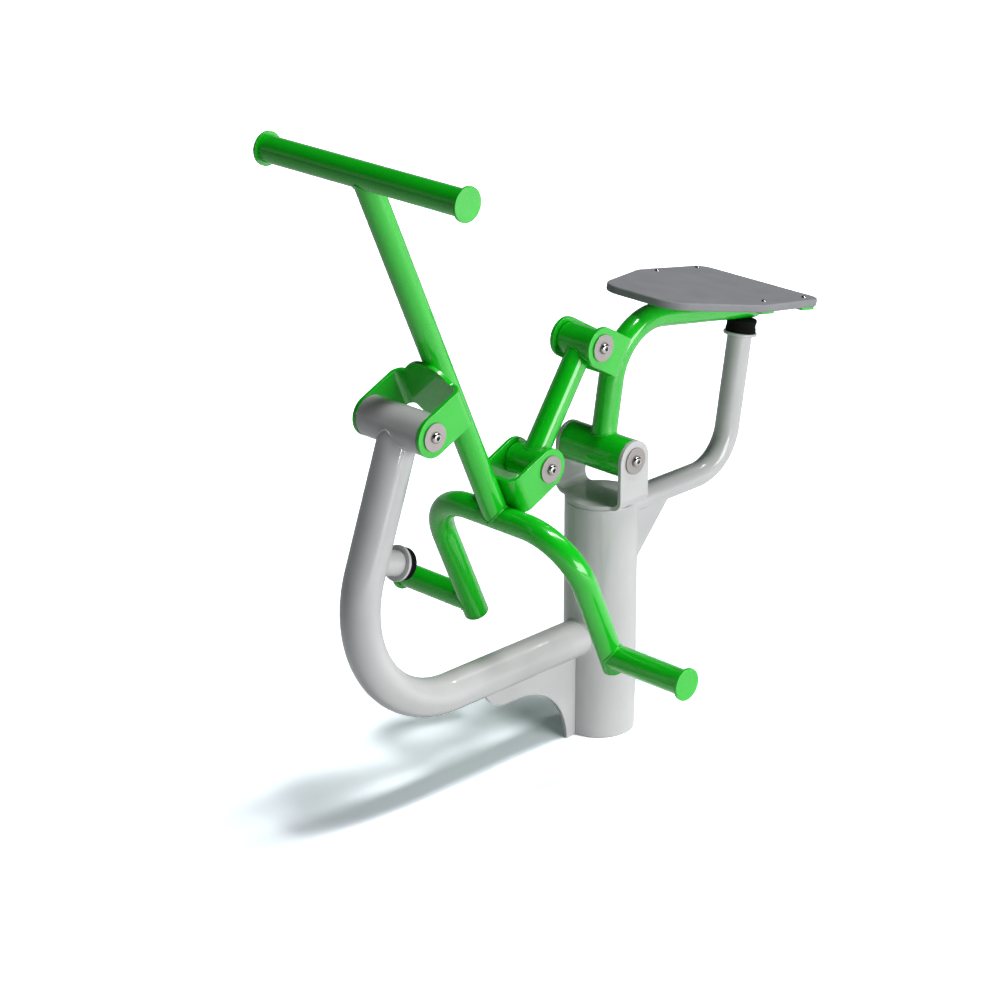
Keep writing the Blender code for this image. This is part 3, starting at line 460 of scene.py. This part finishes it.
# Rear beam and its gusset
# A 48.3 mm tube from the back of the post, bent up to carry the seat's stop, with a plain triangle of 8 mm plate
# welded under it.
TUBE_RADIUS = 0.02415
REAR_BEAM_HEIGHT, REAR_BEAM_BEND, SEAT_LEAN = 0.4427, 0.095, math.radians(9.63)
SEAT_ARM_RISE, REAR_STOP_BACK = 0.2545, 0.366  # seat pivot to the seat arm and, along it, to the stop
REAR_GUSSET_LENGTH, REAR_GUSSET_HEIGHT = 0.118, 0.130
FLANGE_RADIUS, FLANGE_THICKNESS, REAR_BUFFER = 0.033, 0.006, 0.026

seat_up = Vector((-math.sin(SEAT_LEAN), 0, math.cos(SEAT_LEAN)))
seat_back = Vector((-math.cos(SEAT_LEAN), 0, -math.sin(SEAT_LEAN)))
rear_rise = SEAT_ARM_RISE - TUBE_RADIUS - 2 * CLEAR - REAR_BUFFER - FLANGE_THICKNESS
rear_top = SEAT_PIVOT + seat_back * REAR_STOP_BACK + seat_up * (rear_rise - CLEAR)
rear_corner = rear_top - seat_up * (rear_top.z - REAR_BEAM_HEIGHT) / seat_up.z
rear_start = Vector((0, 0, REAR_BEAM_HEIGHT))
rings = tube_rings(eased([rear_start, rear_corner, rear_top], [0, REAR_BEAM_BEND, 0], 32, closed=False), Y_WAY,
                   TUBE_RADIUS)
rings[0] = saddle(rings[0], -X_WAY, Vector(), Z_WAY, POST_RADIUS + CLEAR)
rear_beam = skin("rear_beam_tube", rings, grey_coat)
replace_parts(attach(rear_beam, "frame"), "rear_beam")
rear_gusset_top = REAR_BEAM_HEIGHT - TUBE_RADIUS - CLEAR
rear_gusset_outline = [(-gusset_back, rear_gusset_top - REAR_GUSSET_HEIGHT), (-gusset_back, rear_gusset_top),
                       (-gusset_back - REAR_GUSSET_LENGTH, rear_gusset_top)]
rear_gusset = skin("rear_gusset_plate", slab(rear_gusset_outline, PLATE, PLATE_RIM), grey_coat, upright)
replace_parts(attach(rear_gusset, "frame"), "rear_gusset")
bead = weld("rear_beam_post_weld", rear_start, -X_WAY, TUBE_RADIUS, Vector(), Z_WAY, POST_RADIUS, grey_coat)
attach(bead, "frame")


# End stops
# Each lever rests or ends on a black rubber buffer, moulded with a slight waist and bonded to a turned steel
# flange. The front one stands on a short tube on the beam, the rear one on the end of the rear beam.
FRONT_STOP_DROP, FRONT_BUFFER = 0.247, 0.018
LEVER_BACK = 0.096  # handle pivot to the face of its lever's tube
BUFFER_RADIUS, BUFFER_EDGE, BUFFER_WAIST, FLANGE_RIM = 0.030, 0.003, 0.0016, 0.0012
RUBBER_FACE, RUBBER_WORN = "#020202", "#060606"
RUBBER_GRAIN, RUBBER_BLOOM, RUBBER_DEPTH = 0.0012, 0.02, 0.0002

rubber, tree = new_material("black_moulded_rubber")  # dull and near black, with the fine grain of its mould
spot = add_node(tree, "ShaderNodeTexCoord").outputs["Object"]
grain = add_node(tree, "ShaderNodeTexNoise", {"Vector": spot, "Scale": 1 / RUBBER_GRAIN, "Detail": 4.0})
bloom = add_node(tree, "ShaderNodeTexNoise", {"Vector": spot, "Scale": 1 / RUBBER_BLOOM, "Detail": 2.0})
colour = add_node(tree, "ShaderNodeMix", {0: bloom.outputs[0], 6: linear(RUBBER_FACE), 7: linear(RUBBER_WORN)},
                  data_type="RGBA")
rough = add_node(tree, "ShaderNodeMapRange", {"Value": grain.outputs[0], "To Min": 0.72, "To Max": 0.95})
bump = add_node(tree, "ShaderNodeBump", {"Height": grain.outputs[0], "Strength": 0.4, "Distance": RUBBER_DEPTH})
shader = add_node(tree, "ShaderNodeBsdfPrincipled", {"Base Color": colour.outputs[2], "Roughness": rough.outputs[0],
                                                     "Specular IOR Level": 0.12, "Normal": bump.outputs[0]})
add_node(tree, "ShaderNodeOutputMaterial", {"Surface": shader.outputs[0]})


def end_stop(name, place, thickness):
    """A flange, whose back is at the place, and the buffer on it."""
    core = BUFFER_RADIUS / 2
    low, high = FLANGE_THICKNESS + CLEAR, FLANGE_THICKNESS + CLEAR + thickness
    flange = turned(f"{name}_flange_disc", eased([(core, 0), (FLANGE_RADIUS, 0), (FLANGE_RADIUS, FLANGE_THICKNESS),
                    (core, FLANGE_THICKNESS)], [0, FLANGE_RIM, FLANGE_RIM, 0], 4, closed=False), grey_coat, place)
    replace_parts(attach(flange, "frame"), f"{name}_stop_flange")
    side = [(BUFFER_RADIUS - BUFFER_WAIST * math.sin(math.pi * k / 8) ** 2,
             low + BUFFER_EDGE + (thickness - 2 * BUFFER_EDGE) * k / 8) for k in range(1, 8)]
    outline = [(core, low), (BUFFER_RADIUS, low), *side, (BUFFER_RADIUS, high), (core, high)]
    radii = [0, BUFFER_EDGE / 3, *[0] * len(side), BUFFER_EDGE, 0]
    buffer = turned(f"{name}_rubber_buffer", eased(outline, radii, 5, closed=False), rubber, place)
    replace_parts(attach(buffer, "frame"), f"{name}_buffer")


end_stop("rear", along(rear_top + seat_up * CLEAR, seat_up), REAR_BUFFER)
stop_way = Vector((-beam_up.z, 0, beam_up.x))
stop_root = HANDLE_PIVOT - beam_up * FRONT_STOP_DROP
flange_back = LEVER_BACK - FRONT_BUFFER - CLEAR - FLANGE_THICKNESS
end_stop("front", along(stop_root + stop_way * flange_back, stop_way), FRONT_BUFFER)
rings = tube_rings([stop_root, stop_root + stop_way * (flange_back - CLEAR)], Y_WAY, TUBE_RADIUS)
rings[0] = saddle(rings[0], stop_way, stop_root, beam_up, BEAM_RADIUS + CLEAR)
stub = skin("front_stop_tube", rings, grey_coat)
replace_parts(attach(stub, "frame"), "front_stop_stub")
bead = weld("front_stop_weld", stop_root, stop_way, TUBE_RADIUS, stop_root, beam_up, BEAM_RADIUS, grey_coat)
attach(bead, "frame")


# Handle lever's tube, handlebar and caps
# A long 48.3 mm steel tube between the handlebar and the foot bar, saddled and welded to both, powder-coated a
# glossy bright green. The bar's ends are closed with flanged caps of the same green.
HANDLE_LEAN, HANDLEBAR_RISE, HANDLEBAR_LENGTH, FOOT_DROP = math.radians(24.13), 0.460, 0.495, 0.318
CAP_RADIUS, CAP_THICKNESS, CAP_RIM, CAP_BACK_RIM = 0.031, 0.006, 0.0016, 0.0006
SPIGOT_INSET, SPIGOT_LENGTH = 0.004, 0.010
GREEN_FACE, GREEN_DEEP, GREEN_ROUGHNESS = "#0CBE19", "#0AB416", 0.26
LEVER_X = -(LEVER_BACK + CLEAR + TUBE_RADIUS)
HANDLE = Matrix.Translation(HANDLE_PIVOT) @ Matrix.Rotation(HANDLE_LEAN, 4, "Y")


def end_cap(name, place):
    """A flanged cap with a short spigot, its flange's back at the place."""
    core = TUBE_RADIUS - SPIGOT_INSET
    outline = [(core, -SPIGOT_LENGTH), (core, CLEAR), (CAP_RADIUS, CLEAR), (CAP_RADIUS, CAP_THICKNESS),
               (core, CAP_THICKNESS)]
    return turned(name, eased(outline, [0, 0, CAP_BACK_RIM, CAP_RIM, 0], 4, closed=False), green_coat, place)


green_coat = powder_coat("green_polyester_powder_coat", GREEN_FACE, GREEN_DEEP, GREEN_ROUGHNESS)
bar_centre, foot_centre = Vector((LEVER_X, 0, HANDLEBAR_RISE)), Vector((LEVER_X, 0, -FOOT_DROP))
rings = tube_rings([foot_centre, bar_centre], Y_WAY, TUBE_RADIUS)
rings = [saddle(rings[0], Z_WAY, foot_centre, Y_WAY, TUBE_RADIUS + CLEAR),
         saddle(rings[1], -Z_WAY, bar_centre, Y_WAY, TUBE_RADIUS + CLEAR)]
lever_tube = skin("handle_lever_tube", rings, green_coat, HANDLE)
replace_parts(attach(lever_tube, "handle_lever"), "lever_tube")
bar_half = HANDLEBAR_LENGTH / 2 - CAP_THICKNESS
bar = skin("handlebar_tube", tube_rings([bar_centre - Y_WAY * bar_half, bar_centre + Y_WAY * bar_half], X_WAY,
                                        TUBE_RADIUS), green_coat, HANDLE)
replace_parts(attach(bar, "handle_lever"), "handlebar")
for side, sign in (("left", 1), ("right", -1)):
    cap = end_cap(f"handlebar_end_{side}", HANDLE @ along(bar_centre + sign * bar_half * Y_WAY, sign * Y_WAY))
    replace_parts(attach(cap, "handle_lever"), f"handlebar_cap_{side}")
for bead in (
    weld("handlebar_weld", bar_centre, -Z_WAY, TUBE_RADIUS, bar_centre, Y_WAY, TUBE_RADIUS + CLEAR, green_coat, HANDLE),
    weld("foot_bar_weld", foot_centre, Z_WAY, TUBE_RADIUS, foot_centre, Y_WAY, TUBE_RADIUS + CLEAR, green_coat, HANDLE),
):
    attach(bead, "handle_lever")


# Handle lever's brackets
# Two brackets folded from 8 mm plate and welded to the long tube: a wide one with a round base in front, which
# hangs the lever on the beam's hub, and a narrow one behind, which takes the link.
LOWER_REACH, LINK_EAR_GAP, LOWER_DROP = 0.0907, 0.082, 0.2814

lower_pivot = Vector((LEVER_X - TUBE_RADIUS - CLEAR - LOWER_REACH, 0, -LOWER_DROP))
front_bracket = ear_bracket("lever_front_plate", LEVER_BACK, WIDE_EAR_GAP, green_coat, HANDLE @ facing(Vector(), X_WAY),
                            POST_RADIUS)
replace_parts(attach(front_bracket, "handle_lever"), "lever_front_bracket")
rear_bracket = ear_bracket("lever_rear_plate", LOWER_REACH, LINK_EAR_GAP, green_coat,
                           HANDLE @ facing(lower_pivot, -X_WAY))
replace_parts(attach(rear_bracket, "handle_lever"), "lever_rear_bracket")


# Foot bar, pegs and their caps
# A 48.3 mm tube bent into an upside-down U, with a peg saddled onto the outside of each leg for the rider's foot.
# The pegs have the handlebar's caps, and a thin disc is welded into the foot of each leg.
FOOT_WIDTH, FOOT_BEND, PEG_DROP, PEG_SPREAD, LEG_BELOW = 0.362, 0.110, 0.6005, 0.739, 0.0315
PLUG_THICKNESS, PLUG_SEAM, PLUG_RIM = 0.0034, 0.0006, 0.0014

leg_y, leg_end = FOOT_WIDTH / 2, -PEG_DROP - LEG_BELOW
leg_cut = leg_end + PLUG_THICKNESS + PLUG_SEAM / 2
foot_corners = [Vector((LEVER_X, -leg_y, leg_cut)), Vector((LEVER_X, -leg_y, -FOOT_DROP)),
                Vector((LEVER_X, leg_y, -FOOT_DROP)), Vector((LEVER_X, leg_y, leg_cut))]
foot_path = eased(foot_corners, [0, FOOT_BEND, FOOT_BEND, 0], 32, closed=False)
foot_bar = skin("foot_bar_tube", tube_rings(foot_path, X_WAY, TUBE_RADIUS), green_coat, HANDLE)
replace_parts(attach(foot_bar, "handle_lever"), "foot_bar")


def end_plug(name, place):
    """A disc welded flush into a tube, its outer face at the place and a fine seam behind it."""
    outline = [(TUBE_RADIUS / 2, 0), (TUBE_RADIUS, 0), (TUBE_RADIUS, -PLUG_THICKNESS + PLUG_SEAM / 2),
               (TUBE_RADIUS - PLUG_SEAM, -PLUG_THICKNESS), (TUBE_RADIUS / 2, -PLUG_THICKNESS)]
    return turned(name, eased(outline, [0, PLUG_RIM, 0, 0, 0], 4, closed=False), green_coat, place)


peg_end = PEG_SPREAD / 2 - CAP_THICKNESS
for side, sign in (("left", 1), ("right", -1)):
    way = sign * Y_WAY
    root = Vector((LEVER_X, sign * leg_y, -PEG_DROP))
    rings = tube_rings([root, Vector((LEVER_X, sign * peg_end, -PEG_DROP))], X_WAY, TUBE_RADIUS)
    rings[0] = saddle(rings[0], way, root, Z_WAY, TUBE_RADIUS + CLEAR)
    peg = skin(f"foot_peg_tube_{side}", rings, green_coat, HANDLE)
    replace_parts(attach(peg, "handle_lever"), f"foot_peg_{side}")
    cap = end_cap(f"foot_peg_end_{side}", HANDLE @ along((LEVER_X, sign * peg_end, -PEG_DROP), way))
    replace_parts(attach(cap, "handle_lever"), f"foot_peg_cap_{side}")
    bead = weld(f"foot_peg_weld_{side}", root, way, TUBE_RADIUS, root, Z_WAY, TUBE_RADIUS + CLEAR, green_coat, HANDLE)
    plug = end_plug(f"foot_bar_plug_{side}", HANDLE @ along((LEVER_X, sign * leg_y, leg_end), -Z_WAY))
    for piece in (bead, plug):
        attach(piece, "handle_lever")


# Link
# A straight 48.3 mm tube with a 60.3 mm hub welded across each end. It carries the pull of the handle lever to the
# seat lever.
LINK_HUB_RADIUS, LINK_HUB_BORE, LINK_HUB_LENGTH = 0.03015, 0.02715, 0.076
SEAT_ARM_BEND, UPPER_ANGLE, UPPER_REACH = 0.120, math.radians(20.84), 0.0819

SEAT = Matrix.Translation(SEAT_PIVOT) @ Matrix.Rotation(-SEAT_LEAN, 4, "Y")
upper_way = Vector((math.cos(UPPER_ANGLE), 0, math.sin(UPPER_ANGLE)))
arm_bend_centre = Vector((-SEAT_ARM_BEND, 0, SEAT_ARM_RISE - SEAT_ARM_BEND))
upper_pivot = arm_bend_centre + upper_way * (SEAT_ARM_BEND + TUBE_RADIUS + CLEAR + UPPER_REACH)
link_low, link_high = HANDLE @ lower_pivot, SEAT @ upper_pivot
link_way = (link_high - link_low).normalized()
rings = tube_rings([link_low, link_high], Y_WAY, TUBE_RADIUS)
rings = [saddle(rings[0], link_way, link_low, Y_WAY, LINK_HUB_RADIUS + CLEAR),
         saddle(rings[1], -link_way, link_high, Y_WAY, LINK_HUB_RADIUS + CLEAR)]
link_tube = skin("link_long_tube", rings, green_coat)
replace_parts(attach(link_tube, "link"), "link_tube")
for end, centre, way in (("lower", link_low, link_way), ("upper", link_high, -link_way)):
    ring = hub(f"link_{end}_hub_tube", LINK_HUB_RADIUS, LINK_HUB_BORE, LINK_HUB_LENGTH, green_coat,
               Matrix.Translation(centre))
    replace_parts(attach(ring, "link"), f"link_{end}_hub")
    bead = weld(f"link_{end}_weld", centre, way, TUBE_RADIUS, centre, Y_WAY, LINK_HUB_RADIUS, green_coat)
    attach(bead, "link")


# Seat lever
# A wide hub on the post's clevis, and a 48.3 mm tube that rises from it and bends back under the seat. A folded
# bracket on the outside of the bend takes the link, and two flat bars across the arm carry the seat.
SEAT_ARM_END = 0.396
RAIL_WIDTH, RAIL_THICKNESS, RAIL_LENGTH, RAIL_CORNER = 0.038, 0.006, 0.300, 0.004
SEAT_FRONT, SCREW_ROWS, SCREW_SPREAD = 0.040, {"front": 0.2135, "rear": 0.3345}, 0.270

seat_hub = hub("seat_hub_tube", HUB_RADIUS, HUB_BORE, HUB_LENGTH, green_coat, SEAT)
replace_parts(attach(seat_hub, "seat_lever"), "seat_hub")
arm_cut = SEAT_ARM_END - PLUG_THICKNESS - PLUG_SEAM / 2
arm_corners = [Vector(), Vector((0, 0, SEAT_ARM_RISE)), Vector((-arm_cut, 0, SEAT_ARM_RISE))]
rings = tube_rings(eased(arm_corners, [0, SEAT_ARM_BEND, 0], 40, closed=False), Y_WAY, TUBE_RADIUS)
rings[0] = saddle(rings[0], Z_WAY, Vector(), Y_WAY, HUB_RADIUS + CLEAR)
arm = skin("seat_arm_tube", rings, green_coat, SEAT)
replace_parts(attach(arm, "seat_lever"), "seat_lever_tube")
upper_bracket = ear_bracket("seat_lever_plate", UPPER_REACH, LINK_EAR_GAP, green_coat,
                            SEAT @ facing(upper_pivot, upper_way))
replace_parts(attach(upper_bracket, "seat_lever"), "seat_lever_bracket")
plug = end_plug("seat_arm_plug", SEAT @ along((-SEAT_ARM_END, 0, SEAT_ARM_RISE), -X_WAY))
bead = weld("seat_arm_weld", Vector(), Z_WAY, TUBE_RADIUS, Vector(), Y_WAY, HUB_RADIUS, green_coat, SEAT)
for piece in (plug, bead):
    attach(piece, "seat_lever")
rail_height = SEAT_ARM_RISE + TUBE_RADIUS + CLEAR + RAIL_THICKNESS / 2
rail_outline = eased([(-RAIL_WIDTH / 2, -RAIL_LENGTH / 2), (RAIL_WIDTH / 2, -RAIL_LENGTH / 2),
                      (RAIL_WIDTH / 2, RAIL_LENGTH / 2), (-RAIL_WIDTH / 2, RAIL_LENGTH / 2)], [RAIL_CORNER] * 4, 4)
for end, back in SCREW_ROWS.items():
    rail = skin(f"seat_{end}_flat_bar", slab(rail_outline, RAIL_THICKNESS, PLATE_RIM), green_coat,
                SEAT @ Matrix.Translation((-SEAT_FRONT - back, 0, rail_height)))
    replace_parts(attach(rail, "seat_lever"), f"seat_{end}_rail")


# Seat
# A 15 mm board of solid grey polyethylene, sawn to a rounded arrow shape. Its rims are eased with a router, and its
# faces keep the fine pebbled grain of the rolled sheet, so it hardly shines.
SEAT_THICKNESS, SEAT_EDGE, SEAT_TO_WIDEST, SEAT_LENGTH = 0.015, 0.0028, 0.184, 0.371
SEAT_HALF_WIDTHS, SEAT_CORNERS = (0.088, 0.1605, 0.153), [0.060, 0.060, 0.028]  # at its front, its widest and its rear
BOARD_FACE, BOARD_DARK, BOARD_CLOUD = "#88898C", "#7E7F82", 0.06
BOARD_GRAIN, BOARD_DEPTH = 0.0022, 0.0002  # drawn a little coarser than the real 1 mm grain

board, tree = new_material("grained_polyethylene_board")  # matt, with a soft broad sheen and fine salt-and-pepper grain
spot = add_node(tree, "ShaderNodeTexCoord").outputs["Object"]
grain = add_node(tree, "ShaderNodeTexNoise", {"Vector": spot, "Scale": 1 / BOARD_GRAIN, "Detail": 3.0})
cloud = add_node(tree, "ShaderNodeTexNoise", {"Vector": spot, "Scale": 1 / BOARD_CLOUD, "Detail": 2.0})
mixed = add_node(tree, "ShaderNodeMath", {0: grain.outputs[0], 1: cloud.outputs[0]}, operation="ADD")
share = add_node(tree, "ShaderNodeMapRange", {"Value": mixed.outputs[0], "From Min": SHARE_LOW,
                                              "From Max": SHARE_HIGH})
colour = add_node(tree, "ShaderNodeMix", {0: share.outputs[0], 6: linear(BOARD_DARK), 7: linear(BOARD_FACE)},
                  data_type="RGBA")
rough = add_node(tree, "ShaderNodeMapRange", {"Value": grain.outputs[0], "To Min": 0.58, "To Max": 0.78})
bump = add_node(tree, "ShaderNodeBump", {"Height": grain.outputs[0], "Strength": 0.5, "Distance": BOARD_DEPTH})
shader = add_node(tree, "ShaderNodeBsdfPrincipled", {"Base Color": colour.outputs[2], "Roughness": rough.outputs[0],
                                                     "IOR": 1.5, "Normal": bump.outputs[0]})
add_node(tree, "ShaderNodeOutputMaterial", {"Surface": shader.outputs[0]})

stations = -SEAT_FRONT, -SEAT_FRONT - SEAT_TO_WIDEST, -SEAT_FRONT - SEAT_LENGTH
half_outline = list(zip(stations, SEAT_HALF_WIDTHS))
seat_outline = eased(half_outline + [(x, -y) for x, y in reversed(half_outline)],
                     SEAT_CORNERS + SEAT_CORNERS[::-1], 20)
seat_height = rail_height + RAIL_THICKNESS / 2 + CLEAR + SEAT_THICKNESS / 2
seat = skin("seat_board_panel", slab(seat_outline, SEAT_THICKNESS, SEAT_EDGE, 5), board,
            SEAT @ Matrix.Translation((0, 0, seat_height)))
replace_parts(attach(seat, "seat_lever"), "seat_plate")


# Seat screws
# Four M6 button-head screws with hexagon sockets hold the board to the flat bars. They are cold-formed stainless
# steel, tumbled bright.
SEAT_SCREW, SEAT_SOCKET = (0.003, 0.025, 0.00525, 0.0033), (0.0023, 0.002)  # shank and head, each its radius and length
HEAD_RIM = 0.0003
CROWN_SHARE, MOUTH_SHARE, FLOOR_SHARE = 1.18, 1.06, 0.6  # the head's flat top and the socket's two ends to its size
BRIGHT, BRIGHT_DEEP, BRIGHT_ROUGHNESS = "#B4B2B1", "#989695", (0.10, 0.24)
TUMBLE, TUMBLE_DEPTH = 0.0009, (0.25, 0.00005)


def bare_material(name, colours, roughness, grain, depth, settings, stretch=(1, 1, 1)):
    """An unpainted face, whose grain varies its colour, shine and relief. depth is the bump's strength and height."""
    look, tree = new_material(name)
    spot = add_node(tree, "ShaderNodeTexCoord").outputs["Object"]
    drawn = add_node(tree, "ShaderNodeVectorMath", {0: spot, 1: stretch}, operation="MULTIPLY")
    marks = add_node(tree, "ShaderNodeTexNoise", {"Vector": drawn.outputs[0], "Scale": 1 / grain, "Detail": 2.0})
    colour = add_node(tree, "ShaderNodeMix", {0: marks.outputs[0], 6: linear(colours[1]), 7: linear(colours[0])},
                      data_type="RGBA")
    rough = add_node(tree, "ShaderNodeMapRange", {"Value": marks.outputs[0], "To Min": roughness[0],
                                                  "To Max": roughness[1]})
    bump = add_node(tree, "ShaderNodeBump", {"Height": marks.outputs[0], "Strength": depth[0], "Distance": depth[1]})
    shader = add_node(tree, "ShaderNodeBsdfPrincipled", {"Base Color": colour.outputs[2], "Roughness": rough.outputs[0],
                                                         "Normal": bump.outputs[0], **settings})
    add_node(tree, "ShaderNodeOutputMaterial", {"Surface": shader.outputs[0]})
    return look


# mirror-like, with small dents that soften its glints
bright_steel = bare_material("tumbled_stainless_steel", (BRIGHT, BRIGHT_DEEP), BRIGHT_ROUGHNESS, TUMBLE, TUMBLE_DEPTH,
                             {"Metallic": 1.0})


def button_screw(name, place, sizes, socket, count=48):
    """A screw whose head stands up from the place, with a hexagon socket in its dome."""
    (shank, length, head, height), (corner, depth) = sizes, socket
    rings = [circle(shank, -length, count), circle(shank, 0, count), circle(head - HEAD_RIM, 0, count)]
    crown = corner * CROWN_SHARE
    for k in range(9):
        turn = math.pi / 2 * k / 8
        rings.append(circle(crown + (head - crown) * math.cos(turn), HEAD_RIM + (height - HEAD_RIM) * math.sin(turn),
                            count))
    flat = corner * math.cos(math.pi / 6)
    for level, size in ((height, MOUTH_SHARE), (height - HEAD_RIM / 2, 1), (height - depth, 1),
                        (height - depth - HEAD_RIM, FLOOR_SHARE)):
        ring = []
        for point in circle(1, level, count):
            turn = (math.atan2(point.y, point.x) + math.pi / 6) % (math.pi / 3) - math.pi / 6
            reach = size * flat / math.cos(turn)
            ring.append(Vector((point.x * reach, point.y * reach, level)))
        rings.append(ring)
    return skin(name, rings, bright_steel, place)


for end, back in SCREW_ROWS.items():
    for side, sign in (("left", 1), ("right", -1)):
        top = Vector((-SEAT_FRONT - back, sign * SCREW_SPREAD / 2, seat_height + SEAT_THICKNESS / 2 + CLEAR))
        screw = button_screw(f"seat_bolt_{end}_{side}", SEAT @ Matrix.Translation(top), SEAT_SCREW, SEAT_SOCKET)
        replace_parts(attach(screw, "seat_lever"), f"seat_screw_{end}_{side}")


# Pivots
# Each of the four pivots has a steel axle between its ears and a white acetal bush around it, whose rim shows as a
# thin pale ring. An M12 button-head screw over a penny washer, stamped from rolled sheet, closes it on each side.
AXLE_RADIUS, BUSH_PROUD, BUSH_RIM = 0.0125, 0.0007, 0.0005
WASHER_RADIUS, WASHER_BORE, WASHER_THICKNESS, WASHER_RIM = 0.026, 0.0063, 0.003, 0.0006
SHANK, SCREW_LENGTH, HEAD, HEAD_HEIGHT, SOCKET = 0.006, 0.030, 0.0107, 0.0065, (0.0046, 0.0035)
SHEET, SHEET_DEEP, SHEET_ROUGHNESS, SHEET_STRETCH = "#9C9794", "#8F8A88", (0.44, 0.58), (1, 0.12, 1)
ACETAL, ACETAL_DEEP, ACETAL_ROUGHNESS, ACETAL_IOR = "#E6E4DC", "#DAD8CF", (0.3, 0.45), 1.48
FINE, FINE_DEPTH = 0.0005, (0.2, 0.00003)  # the marks of the rolls and of the lathe

# a dull silvery face with a soft glare and fine streaks
sheet_steel = bare_material("rolled_stainless_sheet", (SHEET, SHEET_DEEP), SHEET_ROUGHNESS, FINE, FINE_DEPTH,
                            {"Metallic": 1.0}, SHEET_STRETCH)
# off-white and waxy, with the fine marks of the lathe
acetal = bare_material("turned_acetal", (ACETAL, ACETAL_DEEP), ACETAL_ROUGHNESS, FINE, FINE_DEPTH, {"IOR": ACETAL_IOR})

PIVOTS = (  # name, place of its lever, centre, body of the ears, body of the hub, gap between the ears, bore, length
    ("front", HANDLE, Vector(), "handle_lever", "frame", WIDE_EAR_GAP, HUB_BORE, HUB_LENGTH),
    ("seat", Matrix.Translation(SEAT_PIVOT), Vector(), "frame", "seat_lever", WIDE_EAR_GAP, HUB_BORE, HUB_LENGTH),
    ("upper", SEAT, upper_pivot, "seat_lever", "link", LINK_EAR_GAP, LINK_HUB_BORE, LINK_HUB_LENGTH),
    ("lower", HANDLE, lower_pivot, "handle_lever", "link", LINK_EAR_GAP, LINK_HUB_BORE, LINK_HUB_LENGTH),
)
for name, lever, centre, ear_body, hub_body, ear_gap, bore, hub_length in PIVOTS:
    half = hub_length / 2 + BUSH_PROUD
    ring = [(AXLE_RADIUS + 2 * CLEAR, -half), (bore - 2 * CLEAR, -half), (bore - 2 * CLEAR, half),
            (AXLE_RADIUS + 2 * CLEAR, half)]
    bush = turned(f"{name}_bearing_bush", eased(ring, [BUSH_RIM] * 4, 3), acetal, lever @ along(centre, Y_WAY), False)
    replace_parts(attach(bush, hub_body), f"{name}_pivot_bush")
    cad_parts[f"{name}_pivot_axle"].data.materials[0] = bright_steel
    outside = ear_gap / 2 + PLATE + CLEAR
    for side, sign in (("left", 1), ("right", -1)):
        ring = [(WASHER_BORE, 0), (WASHER_RADIUS, 0), (WASHER_RADIUS, WASHER_THICKNESS),
                (WASHER_BORE, WASHER_THICKNESS)]
        washer = turned(f"{name}_penny_washer_{side}", eased(ring, [WASHER_RIM] * 4, 3), sheet_steel,
                        lever @ along(centre + sign * outside * Y_WAY, sign * Y_WAY), False)
        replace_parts(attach(washer, ear_body), f"{name}_pivot_washer_{side}")
        head_place = centre + sign * (outside + WASHER_THICKNESS + CLEAR) * Y_WAY
        length = WASHER_THICKNESS + PLATE + CLEAR if name == "lower" else SCREW_LENGTH
        screw = button_screw(f"{name}_button_screw_{side}", lever @ along(head_place, sign * Y_WAY),
                             (SHANK, length, HEAD, HEAD_HEIGHT), SOCKET)
        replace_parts(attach(screw, ear_body), f"{name}_pivot_screw_{side}")
